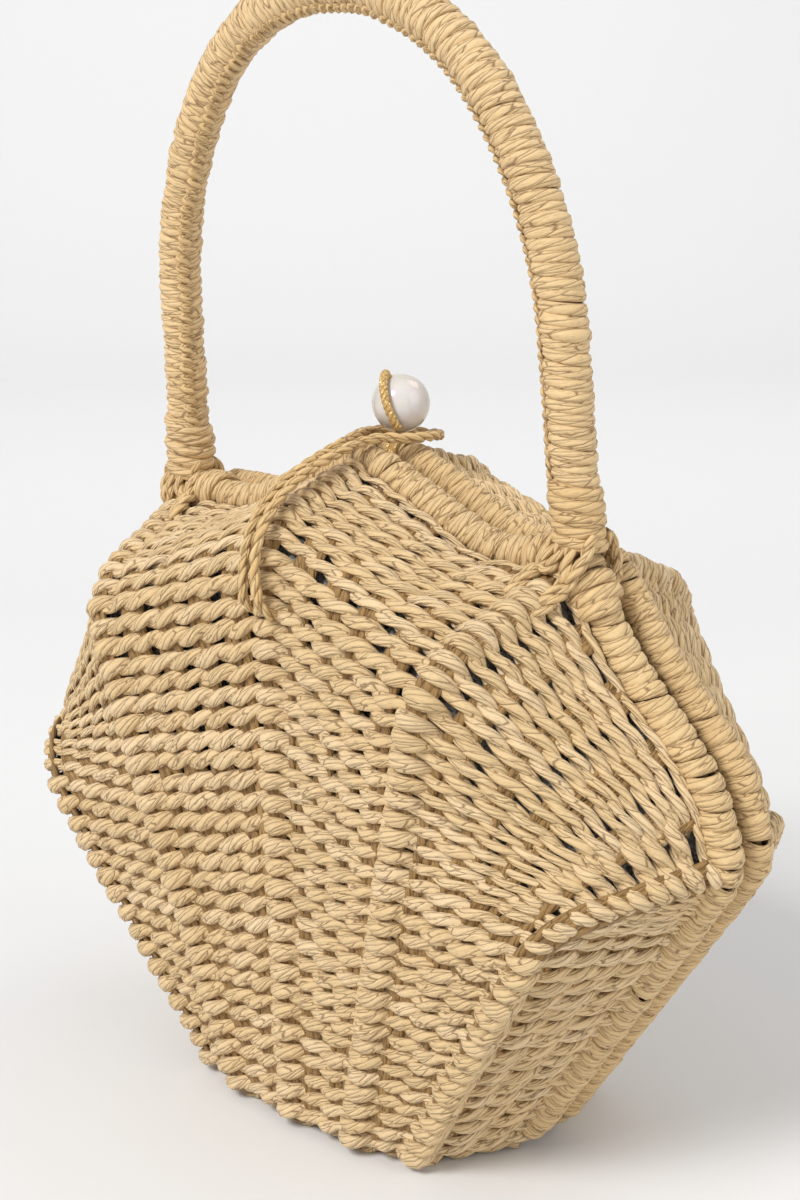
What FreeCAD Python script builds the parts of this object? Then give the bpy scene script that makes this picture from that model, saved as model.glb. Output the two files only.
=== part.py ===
import FreeCAD
import Part
import math
import os

# Woven straw clutch purse: two wire-ribbed basket halves, hinged along the bottom and held
# shut at the top by a straw loop over a pearl. Millimetres. X is the width, the front half
# is on the -Y side, +Z is up. The origin is on the ground, midway between the two halves.

Vec = FreeCAD.Vector
SAME = 1e-6             # two places closer than this are one
CUT_PAST = 2.0          # how far a cutting shape reaches past what it cuts

# ---- Rims: the closed hoop that each half is built on, in its own upright plane
RIM_HALF_GAP = 1.7      # from the middle of the purse to the straw on each rim
RIM_WIRE_R = 1.6
RIM_WRAP_R = 4.8        # outside of the straw wound round the wire
BAR_Z = 6.0             # height of the hoop's straight bottom bar, which is also the hinge axis
PEAK_Z = 187.0
VALLEY = (44.0, 168.0)          # x, z of the dip between the peak and the handle
SHOULDER = (72.0, 168.5)        # where a handle leg stands
WAIST = (88.0, 146.0)
EAR = (112.0, 121.0)
CORNER = (119.5, 100.0)
BAR_END_X = 57.0
RIM_BENDS = {"peak": 20.0, "valley": 30.0, "shoulder": 14.0, "waist": 40.0,
             "ear": 25.0, "corner": 14.0, "bar": 14.0}

# ---- Basket wall: the middle of its thickness runs from the rim over five ribs
WALL_HALF = 2.2         # half the thickness of the woven wall
RIB_WIRE_R = 1.0
RIB_CENTRE = {"base": (0.0, 41.0), "crest": (0.0, 44.5, 174.0), "bend": 18.0}
RIB_INNER = {"base": (22.5, 39.5), "crest": (63.0, 55.0, 148.0), "bend": 22.0}
RIB_OUTER = {"base": (39.5, 34.0), "crest": (97.0, 50.5, 92.0), "bend": 18.0}
BASE_BEND = 3.0         # of a rib wire, where it turns from the base up the face
RIM_GAP = 1.0           # from the straw on the rim to the end of a rib wire
SIDE_SPLIT = 0.16       # share of the rim's slanted side that the top of the side wall meets

# ---- Lining: a stiffened cloth shell inside the woven wall
LINING_GAP = 0.2
LINING_T = 1.0
LINING_RIM_GAP = 2.4    # from the straw on the rim to the edge of the lining

# ---- Hinge lashings on the bottom bars
LASHING_X = (-36.0, 0.0, 36.0)
LASHING_HALF_W = 6.0
LASHING_END_GAP = 0.4
HINGE_CLEARANCE = 0.08  # round the back bar's wire
TURN_CLEARANCE = 0.5    # between a lashing and the back basket, over the whole travel

# ---- Cloth gussets between the two linings at the sides
GUSSET_T = 1.0
GUSSET_RIM_GAP = 0.6    # from the straw on the rims to the gusset's outer face
GUSSET_FOOT_Z = 14.0
GUSSET_BEND_GAP = 1.46   # from the gusset's top to where the rim starts to turn its corner
GUSSET_SHORT = 0.2      # the gusset stops this far short of each rim's plane

# ---- Handle
HANDLE_CORE_R = 2.5
HANDLE_WRAP_R = 6.15
HANDLE_FOOT = (73.0, 169.0)     # x, z of a leg's foot on the front rim
HANDLE_KNEE = (70.5, 225.0)     # where the straight leg turns into the arch
HANDLE_TOP_Z = 308.0
HANDLE_TOP_BEND = 62.0          # radius of the arch's crown
HANDLE_LEAN = 3.9               # degrees, towards the front
SADDLE_STRAW = 2.2              # thickness of the straw that ties a leg to the rim
SADDLE_IN = 14.0                # how far the tie reaches along the rim, inwards and down
SADDLE_OUT = 13.0
COLLAR_STRAW = 1.1             # thickness of the thicker turns at a leg's foot
COLLAR_Z = (171.0, 190.0)       # bottom and top of those turns

# ---- Pearl button and its tie cord, on the back rim's peak
PEARL_R = 8.0
PEARL_BORE_R = 0.9
PEARL_GAP = 0.4
PEARL_TIE_STRAW = 1.1           # thickness of the knot round the rim
PEARL_TIE_HALF_W = 2.5
TIE_CORD_R = 1.2
TIE_CORD_GAP = 0.3
BORE_DIR = (-0.20, -0.40, 0.895)
TIE_END_DIR = (0.50, -0.65, -0.565)

# ---- Closing loop: one straw cord, doubled, from the front half's centre over the pearl
LOOP_R = 1.5
LOOP_HOLE_CLEARANCE = 0.4
LOOP_KNOT_GAP = 0.3             # from the cord's ends to the flat of the knot
LOOP_KNOT_R = 7.5
LOOP_KNOT_SUNK = 2.2            # how much of the knot's ball is flattened where the cord ends
LOOP_HOLE_FROM = 3.0            # a hole's cutter starts this far behind the cord's end
LOOP_HOLE_LENGTH = 21.0
# The right leg's route, from the knot inside to the nose; the left leg mirrors it but for
# its own hole. Points are chosen by hand.
LOOP_RIGHT = [
    (4.2, -37.0, 149.4), (4.3, -50.9, 150.2), (1.9, -51.2, 163.0), (1.7, -48.8, 173.6),
    (1.8, -40.6, 182.0), (1.7, -29.6, 187.2), (1.8, -18.4, 190.0), (2.6, -7.6, 192.4),
    (8.3, 0.8, 191.4), (8.7, 10.6, 191.0), (3.3, 19.6, 189.4)]
LOOP_LEFT = [
    (-3.3, 19.6, 189.2), (-8.7, 10.6, 190.8), (-8.3, 0.8, 191.4), (-2.4, -7.6, 192.6),
    (-1.8, -18.2, 190.3), (-1.7, -29.6, 186.9), (-1.8, -40.8, 182.1), (-1.7, -49.0, 173.4),
    (-1.9, -51.4, 162.8), (-2.6, -50.9, 151.0), (-2.6, -37.0, 150.2)]

# ---- sizes that follow from those above
RIM_Y = RIM_WRAP_R + RIM_HALF_GAP   # from the middle of the purse to each rim's plane
LINING_RIM_R = RIM_WRAP_R + LINING_RIM_GAP
GUSSET_INSET = RIM_WRAP_R + GUSSET_RIM_GAP
GUSSET_HALF_Y = RIM_Y - GUSSET_SHORT
SADDLE_R = RIM_WRAP_R + SADDLE_STRAW
COLLAR_R = HANDLE_WRAP_R + COLLAR_STRAW
PEARL_TIE_R = RIM_WRAP_R + PEARL_TIE_STRAW


# ================================================================ paths and tubes

def turn_angle(before, at, after):
    return (at - before).getAngle(after - at)


def rounded_edges(points, radii, closed=False):
    """Straight runs joined by tangent arcs. radii has one value for each point, 0 for no bend."""
    count = len(points)
    starts, ends, arcs = {}, {}, {}
    corners = range(count) if closed else range(1, count - 1)
    for i in (k for k in corners if radii[k] > 0):
        before, at, after = points[i - 1], points[i], points[(i + 1) % count]
        half = turn_angle(before, at, after) / 2
        setback = radii[i] * math.tan(half)
        back = (before - at).normalize()
        ahead = (after - at).normalize()
        inward = (back + ahead).normalize()
        reach = radii[i] * (1 / math.cos(half) - 1)
        starts[i], ends[i] = at + back * setback, at + ahead * setback
        arcs[i] = Part.Arc(starts[i], at + inward * reach, ends[i]).toShape()
    edges = []
    for i in range(count if closed else count - 1):
        j = (i + 1) % count
        a, b = ends.get(i, points[i]), starts.get(j, points[j])
        if (b - a).Length > SAME:
            edges.append(Part.LineSegment(a, b).toShape())
        if j in arcs:
            edges.append(arcs[j])
    return edges


def tube(edges, radius, closed=False):
    """A round bar along the edges, which are tangent to each other."""
    path = Part.Wire(edges)
    first = edges[0]
    start = first.valueAt(first.FirstParameter)
    along = first.tangentAt(first.FirstParameter)
    ring = Part.Wire(Part.makeCircle(radius, start, along))
    swept = path.makePipeShell([ring], not closed, False)
    solid = Part.makeSolid(swept) if closed else swept
    if solid.ShapeType != "Solid":
        solid = solid.Solids[0]
    if solid.Volume < 0:
        solid.reverse()
    return solid


def bar(start, end, radius):
    along = end - start
    return Part.makeCylinder(radius, along.Length, start, along)


def block(x0, x1, y0, y1, z0, z1):
    return Part.makeBox(x1 - x0, y1 - y0, z1 - z0, Vec(x0, y0, z0))


# ================================================================ rims

def rim_points(y):
    """The hoop's corners, from the peak round by the right."""
    right = [("valley", VALLEY), ("shoulder", SHOULDER), ("waist", WAIST), ("ear", EAR),
             ("corner", CORNER), ("bar", (BAR_END_X, BAR_Z))]
    named = [("peak", (0.0, PEAK_Z))] + right
    named += [(name, (-x, z)) for name, (x, z) in reversed(right)]
    points = [Vec(x, y, z) for name, (x, z) in named]
    return points, [RIM_BENDS[name] for name, place in named]


def rim_tube(y, radius):
    points, radii = rim_points(y)
    # the sweep starts in the middle of the straight bottom bar
    middle = Vec(0, y, BAR_Z)
    half = len(points) // 2 + 1
    order = points[half:] + points[:half]
    bends = radii[half:] + radii[:half]
    edges = rounded_edges([middle] + order, [0.0] + bends, closed=True)
    return tube(edges, radius, closed=True)


def peak_centre_z():
    """Height of the rim's centre line at the top, where the peak is rounded."""
    slope = math.atan2(PEAK_Z - VALLEY[1], VALLEY[0])
    return PEAK_Z - RIM_BENDS["peak"] * (1 / math.cos(slope) - 1)


def lashing_slots(gap):
    """The stretches of the bottom bar that the hinge lashings take."""
    half = LASHING_HALF_W + gap
    reach = RIM_WRAP_R + CUT_PAST
    far = RIM_Y + reach
    return [block(x - half, x + half, -far, far, BAR_Z - reach, BAR_Z + reach)
            for x in LASHING_X]


# ================================================================ basket wall

LEVEL_WEIGHT = 1000.0   # a base or rim corner is kept in its plane this much more firmly
EASE = 1e-4             # keeps a corner with few faces from sliding along them


def rib_corners(rib, rim_place, side):
    """One rib's corners on the middle of the wall: rim end of the base, base corner, crest, rim."""
    x, depth = rib["base"]
    cx, cdepth, cz = rib["crest"]
    rx, rz = rim_place
    return [Vec(side * x, -RIM_Y, WALL_HALF), Vec(side * x, -depth, WALL_HALF),
            Vec(side * cx, -cdepth, cz), Vec(side * rx, -RIM_Y, rz)]


def crest_points(corners, bend):
    """Where a rib leaves its lower run, its middle and where it joins its top run."""
    low, crest, top = corners[1], corners[2], corners[3]
    half = turn_angle(low, crest, top) / 2
    back = (low - crest).normalize()
    ahead = (top - crest).normalize()
    setback = bend * math.tan(half)
    reach = bend * (1 / math.cos(half) - 1)
    return [crest + back * setback, crest + (back + ahead).normalize() * reach,
            crest + ahead * setback]


def wall_vertices():
    """Named corners of the wall's middle surface. L and R are the two sides."""
    places = {"peak": Vec(0, -RIM_Y, PEAK_Z), "base_mid": Vec(0, -RIM_Y, WALL_HALF)}
    centre = rib_corners(RIB_CENTRE, (0.0, PEAK_Z), 1)
    places["c_base"] = centre[1]
    places["c_a"], places["c_m"], places["c_b"] = crest_points(centre, RIB_CENTRE["bend"])
    run = (CORNER[0] - BAR_END_X) / (CORNER[1] - BAR_Z)
    low_x = BAR_END_X - run * (BAR_Z - WALL_HALF)
    split_x = CORNER[0] - (CORNER[0] - BAR_END_X) * SIDE_SPLIT
    split_z = CORNER[1] - (CORNER[1] - BAR_Z) * SIDE_SPLIT
    for tag, side in (("R", 1), ("L", -1)):
        for name, (x, z) in (("valley", VALLEY), ("shoulder", SHOULDER), ("waist", WAIST),
                             ("ear", EAR), ("corner", CORNER), ("split", (split_x, split_z)),
                             ("low", (low_x, WALL_HALF))):
            places[name + tag] = Vec(side * x, -RIM_Y, z)
        for key, rib, end in (("i", RIB_INNER, SHOULDER), ("o", RIB_OUTER, CORNER)):
            corners = rib_corners(rib, end, side)
            places[key + "_base" + tag] = corners[1]
            crest = crest_points(corners, rib["bend"])
            for part, point in zip(("_a", "_m", "_b"), crest):
                places[key + part + tag] = point
    return places


def wall_triangles():
    """The skin of one half as triangles of named corners, front side out."""
    found = []
    for tag in ("R", "L"):
        t = [("c_base", "i_base", "i_a", "c_a"), ("c_a", "i_a", "i_m", "c_m"),
             ("c_m", "i_m", "i_b", "c_b"), ("i_base", "o_base", "o_a", "i_a"),
             ("i_a", "o_a", "o_m", "i_m"), ("i_m", "o_m", "o_b", "i_b"),
             ("c_b", "i_b", "valley", "peak"), ("i_b", "shoulder", "valley"),
             ("i_b", "waist", "shoulder"), ("i_b", "ear", "waist"),
             ("i_b", "o_b", "ear"), ("o_b", "corner", "ear"),
             ("o_b", "split", "corner"), ("o_m", "split", "o_b"), ("o_a", "split", "o_m"),
             ("o_a", "low", "split"), ("o_base", "low", "o_a"),
             ("base_mid", "i_base", "c_base"), ("base_mid", "o_base", "i_base"),
             ("base_mid", "low", "o_base")]
        for names in t:
            full = [n if n in ("peak", "base_mid") or n.startswith("c_") else n + tag
                    for n in names]
            pieces = [full] if len(full) == 3 else [full[:3], [full[0], full[2], full[3]]]
            found += [p if tag == "R" else p[::-1] for p in pieces]
    return found


def rim_loop():
    right = ["valleyR", "shoulderR", "waistR", "earR", "cornerR", "splitR", "lowR"]
    left = [name[:-1] + "L" for name in reversed(right)]
    return ["peak"] + right + ["base_mid"] + left


def moved_vertices(places, triangles, distance):
    """Each corner moved so that every face it is on moves outwards by the distance.
    Corners on the rim's plane stay in that plane, and the base stays level."""
    pulls = {name: [] for name in places}
    for a, b, c in triangles:
        normal = (places[b] - places[a]).cross(places[c] - places[a]).normalize()
        level = max(places[n].z for n in (a, b, c)) < WALL_HALF + SAME
        for name in (a, b, c):
            pulls[name].append((normal, distance, LEVEL_WEIGHT if level else 1.0))
    for name, place in places.items():
        if abs(place.y + RIM_Y) < SAME:
            pulls[name].append((Vec(0, 1, 0), 0.0, LEVEL_WEIGHT))
    moved = {}
    for name, planes in pulls.items():
        m = FreeCAD.Matrix()
        m.nullify()
        m.A44 = 1.0
        goal = Vec()
        for n, d, weight in planes:
            m.A11 += weight * n.x * n.x
            m.A12 += weight * n.x * n.y
            m.A13 += weight * n.x * n.z
            m.A22 += weight * n.y * n.y
            m.A23 += weight * n.y * n.z
            m.A33 += weight * n.z * n.z
            goal += n * (weight * d)
        m.A11 += EASE
        m.A22 += EASE
        m.A33 += EASE
        m.A21, m.A31, m.A32 = m.A12, m.A13, m.A23
        moved[name] = places[name] + m.inverse().multVec(goal)
        if abs(places[name].y + RIM_Y) < SAME:
            moved[name].y = -RIM_Y
        if abs(places[name].z - WALL_HALF) < SAME:
            moved[name].z = WALL_HALF - distance
    return moved


def face_of(points):
    return Part.Face(Part.makePolygon(points + [points[0]]))


def shell_between(outer_move, inner_move):
    """The closed solid between two parallel skins, open at the rim's plane."""
    places, triangles = wall_vertices(), wall_triangles()
    outer = moved_vertices(places, triangles, outer_move)
    inner = moved_vertices(places, triangles, inner_move)
    faces = [face_of([outer[n] for n in t]) for t in triangles]
    faces += [face_of([inner[n] for n in reversed(t)]) for t in triangles]
    loop = rim_loop()
    for a, b in zip(loop, loop[1:] + loop[:1]):
        faces.append(face_of([outer[a], outer[b], inner[b]]))
        faces.append(face_of([outer[a], inner[b], inner[a]]))
    solid = Part.makeSolid(Part.makeShell(faces))
    if solid.Volume < 0:
        solid.reverse()
    return solid.removeSplitter()


def rib_wire(rib, rim_place, side, straw_r=RIM_WRAP_R):
    """A wire in the middle of the wall, from beside the bottom bar to just short of the straw
    on the rim, which is straw_r thick where the wire ends."""
    corners = rib_corners(rib, rim_place, side)
    end_gap = RIM_GAP + RIB_WIRE_R
    corners[0] = corners[0] - Vec(0, RIM_WRAP_R + end_gap, 0)
    last = (corners[2] - corners[3]).normalize()
    corners[3] = corners[3] + last * (straw_r + end_gap)
    return tube(rounded_edges(corners, [0, BASE_BEND, rib["bend"], 0]), RIB_WIRE_R)


# ================================================================ hinge

def stadium(x, half_w, radius):
    """A block with round ends about the two bottom bars."""
    x0, width = x - half_w, 2 * half_w
    ends = [Part.makeCylinder(radius, width, Vec(x0, s * RIM_Y, BAR_Z), Vec(1, 0, 0))
            for s in (-1, 1)]
    middle = block(x0, x0 + width, -RIM_Y, RIM_Y, BAR_Z - radius, BAR_Z + radius)
    return ends[0].fuse([middle, ends[1]]).removeSplitter()


def hinge_lashing(x):
    body = stadium(x, LASHING_HALF_W, RIM_WRAP_R)
    start = Vec(x - LASHING_HALF_W - CUT_PAST, 0, BAR_Z)
    length = Vec(2 * (LASHING_HALF_W + CUT_PAST), 0, 0)
    front = Vec(0, -RIM_Y, 0)
    back = Vec(0, RIM_Y, 0)
    holes = [bar(start + front, start + front + length, RIM_WIRE_R),
             bar(start + back, start + back + length, RIM_WIRE_R + HINGE_CLEARANCE)]
    return body.cut(holes)


def lashing_room():
    """The notch in a basket's base that leaves room for the lashings, on the front side."""
    half = LASHING_HALF_W + TURN_CLEARANCE
    deep = RIM_WRAP_R + TURN_CLEARANCE
    rooms = []
    for x in LASHING_X:
        rooms.append(block(x - half, x + half, -RIM_Y - deep, 0, -CUT_PAST, BAR_Z))
        rooms.append(stadium(x, half, deep))
    return rooms


# ================================================================ handle

def leaned(x, z):
    """A point of the handle's plane, which stands on the front rim and leans forwards."""
    lean = math.radians(HANDLE_LEAN)
    s = z - HANDLE_FOOT[1]
    return Vec(x, -RIM_Y - s * math.sin(lean), HANDLE_FOOT[1] + s * math.cos(lean))


def handle_edges():
    """Leg, side arc, crown, side arc, leg, all tangent."""
    foot, knee, top = HANDLE_FOOT, HANDLE_KNEE, HANDLE_TOP_BEND
    tilt = math.atan2(foot[0] - knee[0], knee[1] - foot[1])
    crown_z = HANDLE_TOP_Z - top
    drop = knee[1] - crown_z
    side = (knee[0] ** 2 + drop ** 2 - top ** 2) / (
        2 * (knee[0] * math.cos(tilt) + drop * math.sin(tilt) - top))
    cx = knee[0] - side * math.cos(tilt)
    cz = knee[1] - side * math.sin(tilt)
    toward = math.atan2(crown_z - cz, -cx)
    meet = (top * math.cos(toward), crown_z + top * math.sin(toward))
    half = (toward + tilt) / 2
    mid = (cx + side * math.cos(half), cz + side * math.sin(half))
    right = [foot, knee, mid, meet]
    left = [(-x, z) for x, z in right]
    place = [leaned(x, z) for x, z in right]
    other = [leaned(x, z) for x, z in left]
    return [Part.LineSegment(place[0], place[1]).toShape(),
            Part.Arc(place[1], place[2], place[3]).toShape(),
            Part.Arc(place[3], leaned(0, HANDLE_TOP_Z), other[3]).toShape(),
            Part.Arc(other[3], other[2], other[1]).toShape(),
            Part.LineSegment(other[1], other[0]).toShape()]


def saddle_tube(side, radius):
    """A tube along the front rim, through the shoulder that a handle leg stands on."""
    at = Vec(SHOULDER[0], -RIM_Y, SHOULDER[1])
    inner = Vec(VALLEY[0], -RIM_Y, VALLEY[1])
    outer = Vec(WAIST[0], -RIM_Y, WAIST[1])
    points = [at + (inner - at).normalize() * SADDLE_IN, at,
              at + (outer - at).normalize() * SADDLE_OUT]
    points = [Vec(side * p.x, p.y, p.z) for p in points]
    return tube(rounded_edges(points, [0, RIM_BENDS["shoulder"], 0]), radius)


def handle_collar(side):
    base = leaned(side * HANDLE_FOOT[0], HANDLE_FOOT[1])
    knee = leaned(side * HANDLE_KNEE[0], HANDLE_KNEE[1])
    along = (knee - base).normalize()
    low, high = [base + along * (z - HANDLE_FOOT[1]) for z in COLLAR_Z]
    past = along * CUT_PAST
    return bar(low, high, COLLAR_R).cut(bar(low - past, high + past, HANDLE_WRAP_R))


# ================================================================ pearl and loop

def pearl_centre():
    return Vec(0, RIM_Y, peak_centre_z() + PEARL_TIE_R + PEARL_GAP + PEARL_R)


def pearl_button():
    centre = pearl_centre()
    bore = Vec(*BORE_DIR).normalize() * (PEARL_R + CUT_PAST)
    return Part.makeSphere(PEARL_R, centre).cut(bar(centre - bore, centre + bore, PEARL_BORE_R))


def pearl_cord():
    """The tie cord: up the bore, over the pearl's front and down to the rim."""
    centre = pearl_centre()
    up = Vec(*BORE_DIR).normalize()
    end = Vec(*TIE_END_DIR).normalize()
    reach = PEARL_R + TIE_CORD_GAP + TIE_CORD_R
    axis = up.cross(end).normalize()
    side = axis.cross(up).normalize()
    angle = up.getAngle(end)

    def at(t):
        return centre + up * (reach * math.cos(t)) + side * (reach * math.sin(t))

    arc = Part.Arc(at(0), at(angle / 2), at(angle)).toShape()
    over = tube([arc], TIE_CORD_R)
    stem = bar(centre - up * PEARL_R, at(0), PEARL_BORE_R)
    return over.fuse([Part.makeSphere(TIE_CORD_R, at(0)), stem]).removeSplitter()


def pearl_knot():
    """The turns that tie the pearl down, round the back rim's peak."""
    start = Vec(-PEARL_TIE_HALF_W, RIM_Y, peak_centre_z())
    return bar(start, start + Vec(2 * PEARL_TIE_HALF_W, 0, 0), PEARL_TIE_R)


def cord_radii(points):
    """Each bend as large as its two runs allow: 0.45 of the shorter, over tan of half the turn."""
    radii = [0.0]
    for before, at, after in zip(points, points[1:], points[2:]):
        shorter = min((at - before).Length, (after - at).Length)
        radii.append(0.45 * shorter / math.tan(turn_angle(before, at, after) / 2))
    return radii + [0.0]


def loop_edges():
    points = [Vec(*p) for p in LOOP_RIGHT + LOOP_LEFT]
    radii = cord_radii(points)
    return rounded_edges(points, radii), radii


def closure_loop():
    edges, radii = loop_edges()
    length = sum(e.Length for e in edges)
    solid = tube(edges, LOOP_R)
    print("closing loop: length %.1f, radii %s" % (length, ", ".join("%.1f" % r for r in radii)))
    print("closing loop: volume over section times length %.4f"
          % (solid.Volume / (math.pi * LOOP_R ** 2 * length)))
    return solid


def loop_holes():
    """Holes through the wall and the lining for the loop's two ends, and the room that the
    cord needs where it bends in a hole's mouth."""
    back, length = Vec(0, LOOP_HOLE_FROM, 0), Vec(0, -LOOP_HOLE_LENGTH, 0)
    starts = [Vec(*LOOP_RIGHT[0]) + back, Vec(*LOOP_LEFT[-1]) + back]
    radius = LOOP_R + LOOP_HOLE_CLEARANCE
    return [bar(s, s + length, radius) for s in starts] + [tube(loop_edges()[0], radius)]


def loop_knot():
    """The stopper knot inside the front half, flat where the cord's ends go into it."""
    right, left = Vec(*LOOP_RIGHT[0]), Vec(*LOOP_LEFT[-1])
    flat = (right + left) * 0.5
    centre = flat + Vec(0, LOOP_KNOT_R - LOOP_KNOT_SUNK, 0)
    reach = LOOP_KNOT_R + CUT_PAST
    keep = block(centre.x - reach, centre.x + reach, flat.y + LOOP_KNOT_GAP, centre.y + reach,
                 centre.z - reach, centre.z + reach)
    return Part.makeSphere(LOOP_KNOT_R, centre).common(keep)


# ================================================================ gussets

def gusset(side):
    """A strip of cloth along the slanted side, just inside the two rims."""
    along = Vec(CORNER[0] - BAR_END_X, 0, CORNER[1] - BAR_Z).normalize()
    inward = Vec(-along.z, 0, along.x)
    foot = Vec(BAR_END_X, 0, BAR_Z) + inward * GUSSET_INSET
    low = foot + along * ((GUSSET_FOOT_Z - foot.z) / along.z)
    ear, corner = Vec(EAR[0], 0, EAR[1]), Vec(CORNER[0], 0, CORNER[1])
    half = turn_angle(ear, corner, Vec(BAR_END_X, 0, BAR_Z)) / 2
    setback = RIM_BENDS["corner"] * math.tan(half)
    high = corner + inward * GUSSET_INSET - along * (setback + GUSSET_BEND_GAP)
    across = inward * GUSSET_T
    corners = [low, high, high + across, low + across]
    outline = face_of([Vec(side * p.x, -GUSSET_HALF_Y, p.z) for p in corners])
    return outline.extrude(Vec(0, 2 * GUSSET_HALF_Y, 0))


# ================================================================ assembly

def half_pieces(prefix, extra_wall_cuts, extra_lining_cuts):
    """The pieces that both halves have, all on the front side."""
    wire = rim_tube(-RIM_Y, RIM_WIRE_R)
    full_wrap = rim_tube(-RIM_Y, RIM_WRAP_R)
    wrap = full_wrap.cut(wire)
    slots = lashing_slots(LASHING_END_GAP)
    ribs = {"rib_centre": rib_wire(RIB_CENTRE, (0.0, PEAK_Z), 1)}
    for name, side in (("left", -1), ("right", 1)):
        ribs["rib_inner_" + name] = rib_wire(RIB_INNER, SHOULDER, side, SADDLE_R)
        ribs["rib_outer_" + name] = rib_wire(RIB_OUTER, CORNER, side)
    wall = shell_between(WALL_HALF, -WALL_HALF)
    wall = wall.cut([full_wrap] + list(ribs.values()) + lashing_room() + extra_wall_cuts)
    outer = -WALL_HALF - LINING_GAP
    lining = shell_between(outer, outer - LINING_T)
    lining = lining.cut([rim_tube(-RIM_Y, LINING_RIM_R)] + extra_lining_cuts)
    wraps = sorted(wrap.cut(slots).Solids, key=lambda s: s.Volume)
    left, right = sorted(wraps[:-1], key=lambda s: s.CenterOfMass.x)
    found = {"rim_wire": wire, "rim_wrap": wraps[-1], "bar_wrap_left": left,
             "bar_wrap_right": right, "weave": biggest(wall), "lining": biggest(lining)}
    found.update(ribs)
    return {prefix + "_" + name: shape for name, shape in found.items()}


def biggest(shape):
    return max(shape.Solids, key=lambda s: s.Volume)


def mirrored(shape):
    return shape.mirror(Vec(0, 0, 0), Vec(0, 1, 0))


def build():
    core = tube(handle_edges(), HANDLE_CORE_R)
    handle = tube(handle_edges(), HANDLE_WRAP_R)
    saddles = {side: saddle_tube(side, SADDLE_R) for side in (-1, 1)}
    rim_wrap_front = rim_tube(-RIM_Y, RIM_WRAP_R)
    saddle_list = list(saddles.values())

    nodes = half_pieces("front", saddle_list + loop_holes(), saddle_list + loop_holes())
    back = half_pieces("back", [], [])
    nodes.update({name: mirrored(shape) for name, shape in back.items()})

    nodes["handle_core"] = biggest(core.cut(rim_wrap_front))
    nodes["handle_wrap"] = biggest(handle.cut([core] + saddle_list))
    for name, side in (("left", -1), ("right", 1)):
        tie = saddles[side].cut([rim_wrap_front, core])
        nodes["handle_tie_" + name] = biggest(tie)
        nodes["handle_collar_" + name] = biggest(handle_collar(side).cut(saddles[side]))
        nodes["gusset_" + name] = gusset(side)
    for name, x in zip(("left", "centre", "right"), LASHING_X):
        nodes["hinge_lashing_" + name] = hinge_lashing(x)

    knot = pearl_knot()
    nodes["pearl_button"] = pearl_button()
    nodes["pearl_cord"] = pearl_cord()
    nodes["pearl_knot"] = biggest(knot.cut(mirrored(rim_tube(-RIM_Y, RIM_WRAP_R))))
    nodes["back_weave"] = biggest(nodes["back_weave"].cut(knot))
    nodes["closure_loop"] = closure_loop()
    nodes["loop_knot"] = loop_knot()
    return nodes


def main():
    os.makedirs("parts", exist_ok=True)
    for name, shape in sorted(build().items()):
        shape.exportStep("parts/" + name + ".step")
        box = shape.BoundBox
        print("%-24s valid %s  solids %d  volume %9.1f  x %.1f..%.1f  y %.1f..%.1f  z %.1f..%.1f"
              % (name, shape.isValid(), len(shape.Solids), shape.Volume,
                 box.XMin, box.XMax, box.YMin, box.YMax, box.ZMin, box.ZMax))


main()
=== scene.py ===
# %% [markdown]
# # A woven straw clutch purse
# Two basket halves of twisted straw hang on wire hoops and close over each other. A straw
# handle stands on the front hoop, and a doubled cord goes over a pearl to keep the purse shut.
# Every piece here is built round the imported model, which holds the sizes and the joints.

# %% Load the frame
import math

import bmesh
import bpy
import numpy as np
from mathutils import Matrix, Vector


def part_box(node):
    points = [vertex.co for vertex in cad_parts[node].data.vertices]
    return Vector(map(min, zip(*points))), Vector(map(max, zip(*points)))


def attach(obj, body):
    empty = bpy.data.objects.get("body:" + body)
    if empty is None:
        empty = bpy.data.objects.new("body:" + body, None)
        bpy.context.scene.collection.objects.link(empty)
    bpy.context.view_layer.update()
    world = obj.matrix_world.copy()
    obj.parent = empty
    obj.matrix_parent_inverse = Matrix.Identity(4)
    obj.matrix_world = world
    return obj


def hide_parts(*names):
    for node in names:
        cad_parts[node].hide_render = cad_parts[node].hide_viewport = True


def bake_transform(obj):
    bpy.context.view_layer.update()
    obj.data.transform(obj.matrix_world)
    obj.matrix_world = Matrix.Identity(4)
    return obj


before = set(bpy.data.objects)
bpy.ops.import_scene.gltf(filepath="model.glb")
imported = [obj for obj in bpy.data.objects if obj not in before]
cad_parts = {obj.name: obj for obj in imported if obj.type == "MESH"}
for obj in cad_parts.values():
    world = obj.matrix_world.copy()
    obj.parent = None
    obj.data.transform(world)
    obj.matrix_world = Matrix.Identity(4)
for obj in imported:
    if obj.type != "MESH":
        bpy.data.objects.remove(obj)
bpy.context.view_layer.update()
MM = 0.001
rng = np.random.default_rng(11)

# %% [markdown]
# ## Camera
# The purse is seen from the front right and a little above, from about half a metre. A camera
# that is placed by two angles and a distance is easy to read: the angles turn an arrow that
# points back from the target, and the camera sits at its end. A small roll levels the picture.

# %% Camera
AZIMUTH = math.radians(43.63)
ELEVATION = math.radians(14.99)
ROLL = math.radians(-0.69)
DISTANCE = 0.539
TARGET = Vector((0.0026, 0.0025, 0.1452))
LENS_MM = 58.29

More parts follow.
